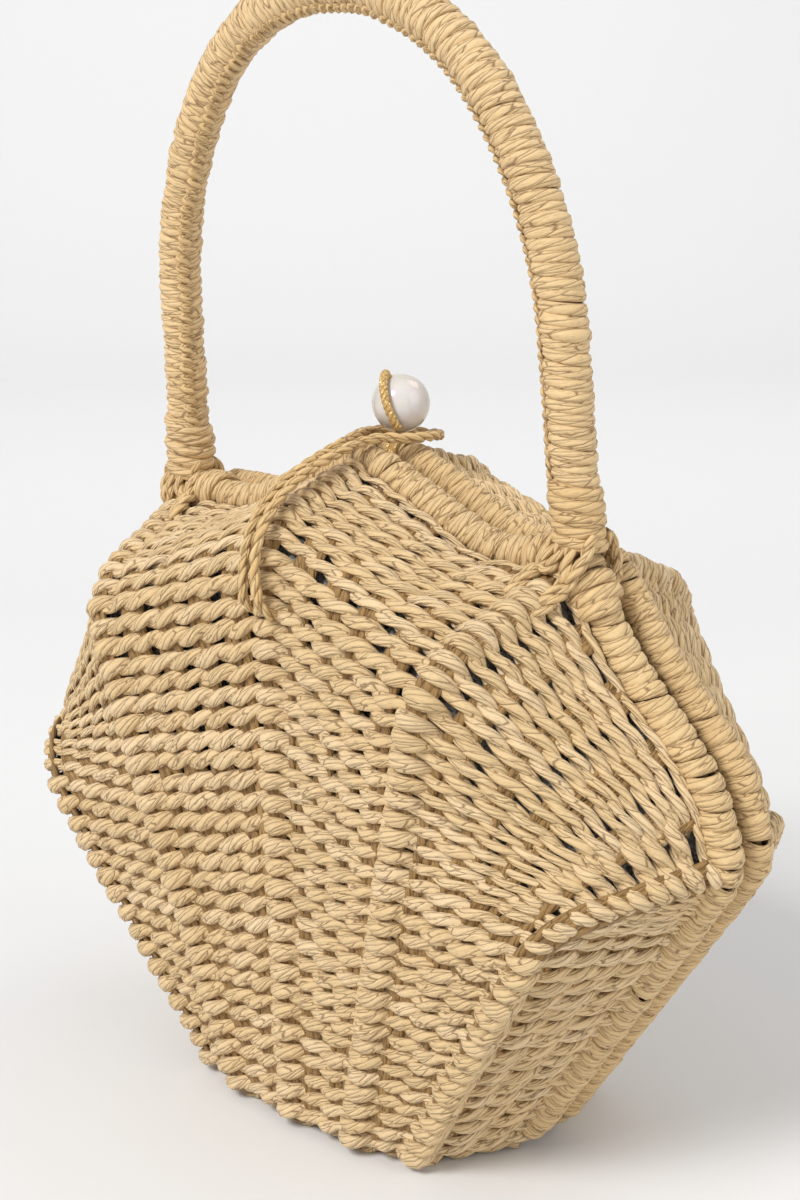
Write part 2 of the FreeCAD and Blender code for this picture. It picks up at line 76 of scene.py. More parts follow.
away = Vector((math.sin(AZIMUTH) * math.cos(ELEVATION),
               -math.cos(AZIMUTH) * math.cos(ELEVATION), math.sin(ELEVATION)))
camera_data = bpy.data.cameras.new("camera")
camera_data.lens = LENS_MM
camera_data.clip_start = 0.01
camera = bpy.data.objects.new("camera", camera_data)
bpy.context.collection.objects.link(camera)
turn = (-away).to_track_quat("-Z", "Y").to_matrix().to_4x4()
place = Matrix.Translation(TARGET + away * DISTANCE)
camera.matrix_world = place @ turn @ Matrix.Rotation(ROLL, 4, "Z")
bpy.context.scene.camera = camera
print("camera at", [round(v, 3) for v in camera.location])

# %% [markdown]
# ## Floor and light
# The purse stands on a pale sweep of paper that curves up behind it, as in a small studio. The
# sweep is one edge that is extruded back and then up along an arc, so no line shows where floor
# meets wall. A soft key lamp stands high before the purse's front, a wide weak one fills in from
# the right, a small one lights the back, and the last one is aimed at the backdrop. White air
# adds the rest, so that rounded straw has its shade without hard shadows.

# %% Floor and light
SWEEP_HALF_WIDTH = 3.0
SWEEP_FRONT = 2.0
SWEEP_BACK = 1.4
SWEEP_BEND = 0.8
SWEEP_HEIGHT = 2.4
SWEEP_TURNS = 12
FAR_WALL = (2.2, 1.2)    # how far behind the purse and how high the backdrop lamp is aimed
AIR_STRENGTH = 0.57


def linear(hex_colour):
    """An sRGB hex colour as the linear RGBA that a shader wants."""
    channels = [int(hex_colour[i:i + 2], 16) / 255 for i in (1, 3, 5)]
    return [c / 12.92 if c <= 0.04045 else ((c + 0.055) / 1.055) ** 2.4 for c in channels] + [1.0]


def node(tree, kind, settings=None, links=None):
    """Adds one node, sets its values, and links other nodes to it, by their first output if the
    node itself is given."""
    added = tree.nodes.new("ShaderNode" + kind)
    for key, value in (settings or {}).items():
        if isinstance(key, int) or key in added.inputs:
            added.inputs[key].default_value = value
        else:
            setattr(added, key, value)
    for key, source in (links or {}).items():
        output = source.outputs[0] if hasattr(source, "outputs") else source
        tree.links.new(output, added.inputs[key])
    return added


def new_material(name):
    """A material with its node tree and its shader."""
    material = bpy.data.materials.new(name)
    material.use_nodes = True
    return material, material.node_tree, material.node_tree.nodes["Principled BSDF"]


def mixed(tree, factor, first, second):
    """A hex colour mixed into the first one, which is a hex colour or another node's output."""
    settings = {"data_type": "RGBA", 7: linear(second)}
    links = {0: factor}
    if isinstance(first, str):
        settings[6] = linear(first)
    else:
        links[6] = first
    return node(tree, "Mix", settings, links).outputs[2]


def ranged(tree, value, low, high, to_low=0.0, to_high=1.0):
    """A value between low and high, brought to between to_low and to_high."""
    return node(tree, "MapRange", {"From Min": low, "From Max": high, "To Min": to_low,
                                   "To Max": to_high}, {"Value": value})


def add_bump(tree, shader, strength, distance, height):
    bump = node(tree, "Bump", {"Strength": strength, "Distance": distance}, {"Height": height})
    tree.links.new(bump.outputs["Normal"], shader.inputs["Normal"])


def set_values(shader, **values):
    """Sets the shader's plain sockets. An underscore stands for a space."""
    for name, value in values.items():
        shader.inputs[name.replace("_", " ")].default_value = value


def write_mesh(bm, mesh):
    """Writes the shape to the mesh, smooth and with its normals outward."""
    bmesh.ops.recalc_face_normals(bm, faces=bm.faces)
    bm.to_mesh(mesh)
    bm.free()
    for face in mesh.polygons:
        face.use_smooth = True
    return mesh


def new_object(name, mesh):
    piece = bpy.data.objects.new(name, mesh)
    bpy.context.collection.objects.link(piece)
    return piece


def paper_material():
    material, _, shader = new_material("matt_backdrop_paper")
    set_values(shader, Base_Color=linear("#E2E2E2"), Roughness=0.9)
    return material


def paper_sweep():
    bm = bmesh.new()
    back = Vector((-away.x, -away.y, 0)).normalized()
    across = Vector((back.y, -back.x, 0)) * SWEEP_HALF_WIDTH
    ends = [bm.verts.new(-back * SWEEP_FRONT + across), bm.verts.new(-back * SWEEP_FRONT - across)]
    edge = bm.edges.new(ends)
    steps = [back * (SWEEP_FRONT + SWEEP_BACK)]
    reach = 2 * SWEEP_BEND * math.sin(math.pi / 4 / SWEEP_TURNS)
    for k in range(SWEEP_TURNS):
        angle = math.pi / 2 * (k + 0.5) / SWEEP_TURNS
        steps.append((back * math.cos(angle) + Vector((0, 0, math.sin(angle)))) * reach)
    steps.append(Vector((0, 0, SWEEP_HEIGHT)))
    for step in steps:
        made = bmesh.ops.extrude_edge_only(bm, edges=[edge])["geom"]
        edge = [g for g in made if isinstance(g, bmesh.types.BMEdge)][0]
        bmesh.ops.translate(bm, verts=list(edge.verts), vec=step)
    mesh = write_mesh(bm, bpy.data.meshes.new("paper_sweep"))
    mesh.materials.append(paper_material())
    return new_object("paper_sweep", mesh)


def soft_lamp(name, azimuth, elevation, distance, size, power, aim=TARGET):
    """A square lamp that looks at aim. Its azimuth is counted from the purse's front."""
    a, e = math.radians(azimuth), math.radians(elevation)
    place = Vector((math.sin(a) * math.cos(e), -math.cos(a) * math.cos(e), math.sin(e)))
    lamp = bpy.data.lights.new(name, "AREA")
    lamp.size = size
    lamp.energy = power
    holder = bpy.data.objects.new(name, lamp)
    holder.location = TARGET + place * distance
    holder.rotation_euler = (aim - holder.location).to_track_quat("-Z", "Y").to_euler()
    bpy.context.collection.objects.link(holder)


paper_sweep()
soft_lamp("key_lamp", -2, 44, 3.2, 1.0, 76)
soft_lamp("fill_lamp", 100, 22, 2.6, 2.0, 14)
soft_lamp("back_lamp", 165, 50, 1.8, 0.8, 4)
far_wall = Vector((-away.x, -away.y, 0)).normalized() * FAR_WALL[0] + Vector((0, 0, FAR_WALL[1]))
soft_lamp("backdrop_lamp", 180 + math.degrees(AZIMUTH), 62, 1.3, 1.0, 5.0, far_wall)
world = bpy.data.worlds.new("studio_air")
world.use_nodes = True
set_values(world.node_tree.nodes["Background"], Color=linear("#FFFFFF"), Strength=AIR_STRENGTH)
bpy.context.scene.world = world
bpy.context.scene.view_settings.view_transform = "Standard"
print("stage and lamps are up")

# %% [markdown]
# ## Straw
# The straw is paper: a ribbon that is twisted into a round cord about 3 mm thick. Twisting
# leaves fine creases that run along the cord at a slant. Each strand here is a spline with a
# round bevel that is turned into a mesh. A strand pressed against a core is flatter than it
# is wide, so the rings of its mesh are then squeezed along the direction that faces outwards.
# Every ring stores where it is round and along its own strand, in millimetres, and the
# straw material draws its creases in that space, so they follow every bend.

# %% Strands
CREASE_SLANT = 0.22      # radians that a crease turns for each mm along the cord
PRESSED = 1.0 * MM       # straw lower than this is pressed flat by the purse's weight


def unit(vectors):
    vectors = np.asarray(vectors, float)
    return vectors / np.maximum(np.linalg.norm(vectors, axis=-1, keepdims=True), 1e-12)


def lengths_along(points):
    steps = np.linalg.norm(np.diff(points, axis=0), axis=1)
    return np.concatenate([[0.0], np.cumsum(steps)])


def resampled(points, count):
    along = lengths_along(points)
    at = np.linspace(0, along[-1], count)
    return np.stack([np.interp(at, along, points[:, k]) for k in range(3)], axis=1)


def strand(points, outward, radius, flat=0.82, tint=None):
    """One strand: its centre line, which way is out, its radius, and how much it is pressed."""
    points = np.asarray(points, float)
    return {"points": points, "outward": unit(outward), "flat": flat,
            "radius": np.broadcast_to(np.asarray(radius, float), len(points)).copy(),
            "tint": rng.uniform(0, 1) if tint is None else tint}


def strands_mesh(name, strands, sides=8):
    """All the strands as one mesh, with their crease space and their tint as attributes."""
    curve = bpy.data.curves.new(name, "CURVE")
    curve.dimensions = "3D"
    curve.bevel_depth = 1.0
    curve.bevel_resolution = (sides - 4) // 2
    curve.use_fill_caps = False
    for run in strands:
        spline = curve.splines.new("POLY")
        count = len(run["points"])
        spline.points.add(count - 1)
        places = np.concatenate([run["points"], np.ones((count, 1))], axis=1)
        spline.points.foreach_set("co", places.ravel())
        spline.points.foreach_set("radius", run["radius"])
        spline.use_smooth = True
    holder = bpy.data.objects.new(name, curve)
    mesh = bpy.data.meshes.new_from_object(holder)
    bpy.data.objects.remove(holder)
    mesh.name = name
    rings = [np.repeat(np.arange(len(run["points"])), sides) for run in strands]
    assert len(mesh.vertices) == sum(len(r) for r in rings), name
    places = np.empty(len(mesh.vertices) * 3)
    mesh.vertices.foreach_get("co", places)
    places = places.reshape(-1, 3)
    space = np.empty_like(places)
    tints = np.empty(len(places))
    facing = np.empty(len(places))
    first = 0
    for run, ring in zip(strands, rings):
        part = slice(first, first + len(ring))
        centre, out = run["points"][ring], run["outward"][ring]
        offset = places[part] - centre
        height = np.sum(offset * out, axis=1, keepdims=True)
        places[part] = centre + offset - out * height * (1 - run["flat"])
        along = lengths_along(run["points"])[ring] / MM
        around = 2 * math.pi * np.tile(np.arange(sides), len(run["points"])) / sides
        around = around + CREASE_SLANT * along
        thick = run["radius"][ring] / MM
        # facing is 0 on a strand's inner side and 1 on its outer side; the straw material uses it
        # to paint shade on the inner side.
        facing[part] = 0.5 + 0.5 * height[:, 0] / run["radius"][ring]
        space[part] = np.stack([thick * np.cos(around), thick * np.sin(around),
                                along + 200 * run["tint"]], axis=1)
        tints[part] = run["tint"]
        first += len(ring)
    low = places[:, 2] < PRESSED
    places[low, 2] = PRESSED * np.exp(places[low, 2] / PRESSED - 1)
    mesh.vertices.foreach_set("co", places.ravel())
    mesh.attributes.new("crease_space", "FLOAT_VECTOR", "POINT").data.foreach_set(
        "vector", space.ravel().astype(np.float32))
    for key, values in (("tint", tints), ("facing", facing)):
        data = mesh.attributes.new(key, "FLOAT", "POINT").data
        data.foreach_set("value", values.astype(np.float32))
    bm = bmesh.new()
    bm.from_mesh(mesh)
    bmesh.ops.holes_fill(bm, edges=[e for e in bm.edges if e.is_boundary], sides=sides)
    return write_mesh(bm, mesh)


def finish_piece(name, mesh, material, body, replaced=()):
    """Names a piece, gives it its material and its body, and hides the CAD nodes it stands for."""
    piece = new_object(name, mesh)
    mesh.materials.clear()
    mesh.materials.append(material)
    if body:
        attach(piece, body)
    if replaced:
        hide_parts(*replaced)
    mesh.calc_loop_triangles()
    print("%-22s %7d triangles" % (name, len(mesh.loop_triangles)))
    return piece


def strand_piece(name, strands, material, body, replaced=(), sides=8):
    """A finished piece that is made of strands."""
    return finish_piece(name, strands_mesh(name, strands, sides), material, body, replaced)


# %% [markdown]
# ## Straw material
# Twisted paper straw is matt and a little waxy. Its colour is a warm tan that is paler where the
# paper is stretched, and each strand is a slightly different shade, because the bundles are dyed
# and bleached by hand. The folds are nearly 2 mm apart round a strand. They drive the bump, and
# their dark lines in the colour are painted shade in the folds. A slow noise over the whole purse
# gives it uneven, handmade patches. The side of a strand that faces inwards is painted darker, as
# shade in the crannies between strands, and the uprights behind the rows are painted a deeper
# brown, as shade in the gaps.

# %% Straw material
FOLD_PER_MM = 0.55       # folds are about 1.8 mm apart round a strand
ALONG_STRAW = (1.0, 1.0, 0.17)     # folds and fibres run along the strand


def straw_material(name, pale, warm, dark, crease_depth=1.0):
    material, tree, shader = new_material(name)
    space = node(tree, "Attribute", {"attribute_name": "crease_space"})
    tint = node(tree, "Attribute", {"attribute_name": "tint"})
    facing = node(tree, "Attribute", {"attribute_name": "facing"})
    place = node(tree, "TexCoord")
    stretch = node(tree, "Mapping", {"Scale": ALONG_STRAW}, {"Vector": space.outputs["Vector"]})
    folds = node(tree, "TexVoronoi", {"feature": "DISTANCE_TO_EDGE", "Scale": FOLD_PER_MM},
                 {"Vector": stretch})
    fine = node(tree, "TexNoise", {"Scale": 2.6, "Detail": 4.0, "Roughness": 0.65},
                {"Vector": stretch})
    patches = node(tree, "TexNoise", {"Scale": 42.0, "Detail": 2.0},
                   {"Vector": place.outputs["Object"]})
    shade = node(tree, "Math", {"operation": "ADD", "use_clamp": True},
                 {0: tint.outputs["Fac"], 1: patches})
    less = node(tree, "Math", {"operation": "MULTIPLY", 1: 0.7}, {0: shade})
    tone = mixed(tree, less, pale, warm)
    # The dark fold lines are painted shade in the folds.
    line = ranged(tree, folds, 0.0, 0.055, 0.80, 0.0)
    streak = ranged(tree, fine, 0.30, 0.46, 0.40, 0.0)
    # Painted shade: the inward side of each strand, towards the crannies between strands, is
    # darkened.
    painted_crevice_shade = ranged(tree, facing.outputs["Fac"], 0.12, 0.54, 0.9, 0.0)
    creased = node(tree, "Math", {"operation": "MAXIMUM"}, {0: line, 1: streak})
    painted_shade_and_streaks = node(tree, "Math", {"operation": "MAXIMUM"}, {0: creased, 1: painted_crevice_shade})
    tree.links.new(mixed(tree, painted_shade_and_streaks, tone, dark), shader.inputs["Base Color"])
    facets = ranged(tree, folds, 0.0, 0.22)
    both = node(tree, "Math", {"operation": "MULTIPLY_ADD", 1: 0.7}, {0: fine, 2: facets})
    add_bump(tree, shader, 0.8 * crease_depth, 0.0005, both)
    gloss = ranged(tree, fine, 0.0, 1.0, 0.68, 0.48)
    tree.links.new(gloss.outputs["Result"], shader.inputs["Roughness"])
    set_values(shader, Specular_IOR_Level=0.35, Sheen_Weight=0.08)
    return material


# Each straw's third colour is painted shade in folds and crannies, and also the dark of its fine
# streaks.
WEAVE_STRAW = straw_material("twisted_paper_straw", "#F0D6AE", "#D8B780", "#5A3510")
WOUND_STRAW = straw_material("wound_paper_straw", "#EACD9D", "#D4B17A", "#62390F", 0.9)
HANDLE_STRAW = straw_material("handle_paper_straw", "#EBCE9F", "#D4B078", "#62390F", 0.9)
LOOP_STRAW = straw_material("two_ply_paper_cord", "#EACB96", "#D3AE74", "#653B10")
# The uprights' deeper brown is painted shade in the gaps behind the rows.
UPRIGHT_STRAW_PAINTED_SHADE = straw_material("upright_paper_straw_painted_shade", "#B8925C", "#93703F", "#402A10")
print("straw materials", WEAVE_STRAW.name, WOUND_STRAW.name, LOOP_STRAW.name)

# %% [markdown]
# ## Closing loop
# One straw cord comes out of a hole in the front half, goes over the peak, round the pearl, and
# back beside itself into a second hole. Its route is a smooth spline through the same points as
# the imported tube. The cord is two plies twisted together, so its mesh is two strands that wind
# round the spline's own line, read back from Blender.

# %% Closing loop
LOOP_PLY_R = 0.00098
LOOP_PLY_OFFSET = 0.00062
LOOP_TWIST_LENGTH = 0.0088
LOOP_ROUTE = [
    (0.0042, -0.0370, 0.1494), (0.0043, -0.0509, 0.1502), (0.0019, -0.0512, 0.1630),
    (0.0017, -0.0488, 0.1736), (0.0018, -0.0406, 0.1820), (0.0017, -0.0296, 0.1872),
    (0.0018, -0.0184, 0.1900), (0.0026, -0.0076, 0.1924), (0.0083, 0.0008, 0.1914),
    (0.0087, 0.0106, 0.1910), (0.0033, 0.0196, 0.1894), (-0.0033, 0.0196, 0.1892),
    (-0.0087, 0.0106, 0.1908), (-0.0083, 0.0008, 0.1914), (-0.0024, -0.0076, 0.1926),
    (-0.0018, -0.0182, 0.1903), (-0.0017, -0.0296, 0.1869), (-0.0018, -0.0408, 0.1821),
    (-0.0017, -0.0490, 0.1734), (-0.0019, -0.0514, 0.1628), (-0.0026, -0.0509, 0.1510),
    (-0.0026, -0.0370, 0.1502)]


def smooth_route(points):
    """The points of a smooth spline through the route, as Blender works them out."""
    curve = bpy.data.curves.new("route", "CURVE")
    curve.dimensions = "3D"
    curve.resolution_u = 16
    spline = curve.splines.new("NURBS")
    spline.points.add(len(points) - 1)
    for control, place in zip(spline.points, points):
        control.co = (*place, 1.0)
    spline.order_u = 3
    spline.use_endpoint_u = True
    holder = bpy.data.objects.new("route", curve)
    line = bpy.data.meshes.new_from_object(holder)
    found = np.array([v.co for v in line.vertices])
    bpy.data.objects.remove(holder)
    return found


def side_frames(points):
    """Two directions square to the line at each point, carried along it without twist."""
    ahead = unit(np.gradient(points, axis=0))
    first = np.cross(ahead[0], (0.0, 0.0, 1.0))
    if np.linalg.norm(first) < 0.1:
        first = np.cross(ahead[0], (1.0, 0.0, 0.0))
    one = [unit(first)]
    for t in ahead[1:]:
        one.append(unit(one[-1] - t * np.dot(one[-1], t)))
    one = np.array(one)
    return one, np.cross(ahead, one)


def plies(points, count, offset, radius, twist_length, tint=None, step=0.0007):
    """Strands that wind round a line, as in a laid cord."""
    total = lengths_along(points)[-1]
    line = resampled(points, int(total / step) + 2)
    one, two = side_frames(line)
    along = lengths_along(line)
    made = []
    for k in range(count):
        angle = 2 * math.pi * (along / twist_length + k / count)
        out = one * np.cos(angle)[:, None] + two * np.sin(angle)[:, None]
        made.append(strand(line + out * offset, out, radius, 0.95, tint))
    return made


loop_line = smooth_route(LOOP_ROUTE)
loop_plies = plies(loop_line, 2, LOOP_PLY_OFFSET, LOOP_PLY_R, LOOP_TWIST_LENGTH)
loop = strand_piece("straw_loop", loop_plies, LOOP_STRAW, "loop", ["closure_loop"])

# %% [markdown]
# ## The purse's own outline
# Everything woven or wound follows two kinds of line: the hoop of each half and its five ribs.
# They are straight runs with rounded corners, so one function rounds a list of corners, and the
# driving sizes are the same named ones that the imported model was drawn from, in metres. The back
# half is the front half mirrored, so all of it is worked out once, on the front.

# %% Hoops and ribs
RIM_Y = 6.5 * MM
RIM_R = 4.8 * MM
BAR_Z = 6.0 * MM
WALL_HALF = 2.2 * MM
HOOP = {"peak": (0.0, 187.0), "valley": (44.0, 168.0), "shoulder": (72.0, 168.5),
        "waist": (88.0, 146.0), "ear": (112.0, 121.0), "corner": (119.5, 100.0), "bar": (57.0, 6.0)}
HOOP_BEND = {"peak": 20.0, "valley": 30.0, "shoulder": 14.0, "waist": 40.0,
             "ear": 25.0, "corner": 14.0, "bar": 14.0}
RIB_BASE = [(0.0, 41.0), (22.5, 39.5), (39.5, 34.0)]
RIB_CREST = [(0.0, 44.5, 174.0), (63.0, 55.0, 148.0), (97.0, 50.5, 92.0)]
RIB_BEND = [18.0, 22.0, 18.0]
RIB_TOP = ["peak", "shoulder", "corner"]
BASE_BEND = 4.0
ARC_STEPS = 14


def rounded(corners, bends, closed=False):
    """A line through the corners, with each bend's arc as a few points. Bends are radii."""
    corners = [np.array(c, float) for c in corners]
    count = len(corners)
    line = []
    for i, at in enumerate(corners):
        if bends[i] == 0 or (not closed and i in (0, count - 1)):
            line.append(at)
            continue
        back = unit(corners[i - 1] - at)
        ahead = unit(corners[(i + 1) % count] - at)
        half = (math.pi - math.acos(float(np.clip(np.dot(back, ahead), -1, 1)))) / 2
        inward, sideways = unit(back + ahead), unit(ahead - back)
        centre = at + inward * bends[i] / math.cos(half)
        for angle in np.linspace(-half, half, ARC_STEPS):
            line.append(centre + bends[i] * (sideways * math.sin(angle) - inward * math.cos(angle)))
    if closed:
        line.append(line[0])
    return np.array(line) * MM


def hoop_line(y):
    """The hoop's centre line, from the middle of its bottom bar round by the left."""
    names = ["bar", "corner", "ear", "waist", "shoulder", "valley"]
    left = [(-HOOP[n][0], y / MM, HOOP[n][1]) for n in names]
    right = [(HOOP[n][0], y / MM, HOOP[n][1]) for n in reversed(names)]
    corners = [(0.0, y / MM, BAR_Z / MM)] + left + [(0.0, y / MM, HOOP["peak"][1])] + right
    bends = [0.0] + [HOOP_BEND[n] for n in names] + [HOOP_BEND["peak"]]
    bends += [HOOP_BEND[n] for n in reversed(names)]
    return rounded(corners, bends, closed=True)


def rib_line(k):
    """Rib k from the bottom bar out to the base's edge, up the face and back to the hoop."""
    (x, depth), (cx, cdepth, cz) = RIB_BASE[k], RIB_CREST[k]
    tx, tz = HOOP[RIB_TOP[k]]
    half, y = WALL_HALF / MM, RIM_Y / MM
    corners = [(x, -y, half), (x, -depth, half), (cx, -cdepth, cz), (tx, -y, tz)]
    return rounded(corners, [0.0, BASE_BEND, RIB_BEND[k], 0.0])


front_hoop = hoop_line(-RIM_Y)
back_hoop = hoop_line(RIM_Y)
print("hoop %.0f mm round" % (lengths_along(front_hoop)[-1] / MM))

# %% [markdown]
# ## The woven wall's surface
# A row of weaving runs from the hoop on one side over all five ribs to the hoop on the other. A
# place on the wall is given by two numbers. `across` counts ribs, from -3 at the left side
# of the hoop to 3 at the right, and `up` runs from -1 at the bottom bar over 0 at the base's edge
# to 1 at the top of the hoop. Between ribs the wall is straight, but near the hoop it takes the
# hoop's own shape, so the top rows dip and rise with it.

# %% Wall surface
TOP_GAP = 4.0            # mm from the hoop's centre line to the wall's last edge
CREST_UP = (0.79, 0.75, 0.49)      # where each rib has its crest
SIDE_Z = (4.0, 82.0, 97.0)
TABLE = np.linspace(-1.0, 1.0, 801)
ROUND_ACROSS = 0.04      # how far a ridge's rounding reaches, in ribs
ROUND_OUTER = 0.05       # the same at the two outer ribs, where the wall turns most


def rib_table(k):
    """Rib k's places for each value of up."""
    line = rib_line(k)
    along = lengths_along(line)
    edge, crest = along[1 + ARC_STEPS // 2], along[1 + ARC_STEPS + ARC_STEPS // 2]
    at = np.interp(TABLE, [-1, 0, CREST_UP[k], 1], [0, edge, crest, along[-1] - TOP_GAP * MM])
    return np.stack([np.interp(at, along, line[:, c]) for c in range(3)], axis=1)


def side_table():
    """Where rows end on the hoop's slanted side, for each value of up."""
    (bx, bz), (cx, cz) = HOOP["bar"], HOOP["corner"]
    z = np.interp(TABLE, [-1, 0, CREST_UP[2], 1], [2.5, *SIDE_Z])
    x = bx + (z - bz) * (cx - bx) / (cz - bz)
    x = np.where(TABLE < 0, x + TABLE * 4.0, x)
    return np.stack([x, np.full_like(x, -RIM_Y / MM - 1.5), z], axis=1) * MM


RIBS = [rib_table(0), rib_table(1), rib_table(2), side_table()]
TOP_EDGE = [["peak", "valley", "shoulder"], ["shoulder", "waist", "ear", "corner"]]


def top_dip(k, share):
    """How far the hoop between two ribs leaves the straight line between their tops."""
    corners = [(HOOP[n][0], 0.0, HOOP[n][1]) for n in TOP_EDGE[k]]
    bends = [0.0] + [HOOP_BEND[n] for n in TOP_EDGE[k][1:-1]] + [0.0]
    line = rounded(corners, bends)
    along = lengths_along(line) / lengths_along(line)[-1]
    on_hoop = np.stack([np.interp(share, along, line[:, c]) for c in range(3)], axis=1)
    straight = line[0] + (line[-1] - line[0]) * share[:, None]
    return on_hoop - straight


def sharp_wall(across, up):
    """Places on the middle of the front wall. across and up are arrays of one length."""
    side = np.where(across < 0, -1.0, 1.0)
    a = np.clip(np.abs(across), 0, 3)
    k = np.minimum(a.astype(int), 2)
    share = (a - k)[:, None]
    tables = np.stack(RIBS)
    at = np.clip((up + 1) / 2 * (len(TABLE) - 1), 0, len(TABLE) - 1.001)
    low = at.astype(int)
    part = (at - low)[:, None]
    here = tables[k, low] * (1 - part) + tables[k, low + 1] * part
    there = tables[k + 1, low] * (1 - part) + tables[k + 1, low + 1] * part
    place = here + (there - here) * share
    crest = np.interp(a, [0, 1, 2, 3], [*CREST_UP, CREST_UP[2]])
    pull = np.clip((up - crest) / (1 - crest), 0, 1)[:, None]
    for panel in (0, 1):
        mine = k == panel
        if mine.any():
            place[mine] += top_dip(panel, share[mine, 0]) * pull[mine]
    place[:, 0] *= side
    return place


def wall(across, up):
    """The same wall with its ridges at the ribs a little rounded."""
    outer = np.clip(1 - np.abs(np.abs(across) - 2) / 0.4, 0, 1)
    reach = np.minimum(3 - np.abs(across), ROUND_ACROSS + (ROUND_OUTER - ROUND_ACROSS) * outer)
    reach = np.maximum(reach, 0)
    total = 0
    for share in (-1.0, -0.4, 0.4, 1.0):
        total = total + sharp_wall(across + share * reach, up)
    return total / 4


def wall_out(across, up):
    """Which way is out of the wall, smoothed over its ridges."""
    h = 0.02
    total = 0
    for shift in (-0.10, 0.0, 0.10):
        s = across + shift
        over = wall(np.clip(s + h, -3, 3), up) - wall(np.clip(s - h, -3, 3), up)
        rise = wall(s, np.clip(up + h, -1, 1)) - wall(s, np.clip(up - h, -1, 1))
        total = total + unit(np.cross(over, rise))
    return unit(total)


print("wall at half height", np.round(wall(np.arange(3.0), np.full(3, 0.5)) / MM, 1).tolist())

# %% [markdown]
# ## Weaving
# Each row is two strands that twist round each other once for every two uprights. They pass over
# a rib as a fat knuckle and dive behind the wall beside it, which leaves the dark little holes
# that stand in columns along the ribs. Between ribs the front strand of each half turn shows as
# a slanted leaf, about 9 mm long. All rows twist the same way. Uprights of loose straw stand
# between the ribs and show through the gaps. The hoop's shoulder leaves less room at the outer
# ribs than at the middle, so from there up every second row stops short and its end is tucked in.

# %% Weaving
FACE_ROWS = 35
BASE_ROWS = 6
SHORT_FROM = 19          # from this row on, every second row stops short of the outer rib
SHORT_ACROSS = 1.86
LEAF = 9.2 * MM          # half a twist
PAIR_R = 1.80 * MM       # radius of a woven strand along the wall
PAIR_FLAT = 0.74
SPREAD = 0.20            # of the row spacing: how far a strand swings up and down
DEPTH = 1.15 * MM        # how far it swings in and out
KNUCKLE = 1.3 * MM
KNUCKLE_W = 3.6 * MM
DIVE = 0.95 * MM
DIVE_AT = 6.4 * MM
DIVE_W = 2.3 * MM
POINTS_PER_LEAF = 6
PITCH_RANGE = (2.2 * MM, 6.4 * MM)  # how close and how far apart rows can lie
USUAL_PITCH = 5.6 * MM   # rows this far apart have straw of the usual thickness
KNUCKLE_FAT = 0.24
RIDGE_FAT = 0.14         # more at the outer ribs, where the wall is sharpest
DIVE_THIN = 0.16
TUCK = 2.2 * MM          # how deep a short row's end is pushed in
TUCK_ACROSS = 0.08
WIDEN_ACROSS = 0.14      # over this much of across, long rows take up a short row's space
UPRIGHTS_PER_PANEL = 5
UPRIGHT_REACH = (-0.95, 0.985)
UPRIGHT_R = 1.75         # mm
RIB_UPRIGHT_R = 1.6
UPRIGHTS = ((-2.7, -0.5), (0.0, -0.5), (2.7, -0.5))      # mm sideways and mm out of the wall
RIB_UPRIGHTS = ((-2.0, 0.4), (0.0, 1.0), (2.0, 0.4))     # these three cover a rib's wire


def row_stations(up):
    """Values of across along one row, with its twist angle and the distance to the next rib."""
    spots, angles, rib_gaps = [], [], []
    angle = math.pi / 2
    for panel in range(-3, 3):
        ends = wall(np.array([panel + 1e-4, panel + 1 - 1e-4]), np.full(2, up))
        length = np.linalg.norm(ends[1] - ends[0])
        leaves = max(1, round(length / LEAF))
        share = np.linspace(0, 1, leaves * POINTS_PER_LEAF + 1)
        if panel < 2:
            share = share[:-1]
        spots.append(panel + share)
        angles.append(angle + math.pi * leaves * share)
        from_rib = np.full_like(share, 1.0) if panel == -3 else share * length
        to_rib = np.full_like(share, 1.0) if panel == 2 else (1 - share) * length
        rib_gaps.append(np.minimum(from_rib, to_rib))
        angle += math.pi * leaves
    return np.concatenate(spots), np.concatenate(angles), np.concatenate(rib_gaps)


def wander(count, size, wave):
    """A slow random drift, as no hand keeps a row quite straight."""
    knots = rng.normal(0, size, max(4, count // wave))
    return np.interp(np.linspace(0, 1, count), np.linspace(0, 1, len(knots)), knots)


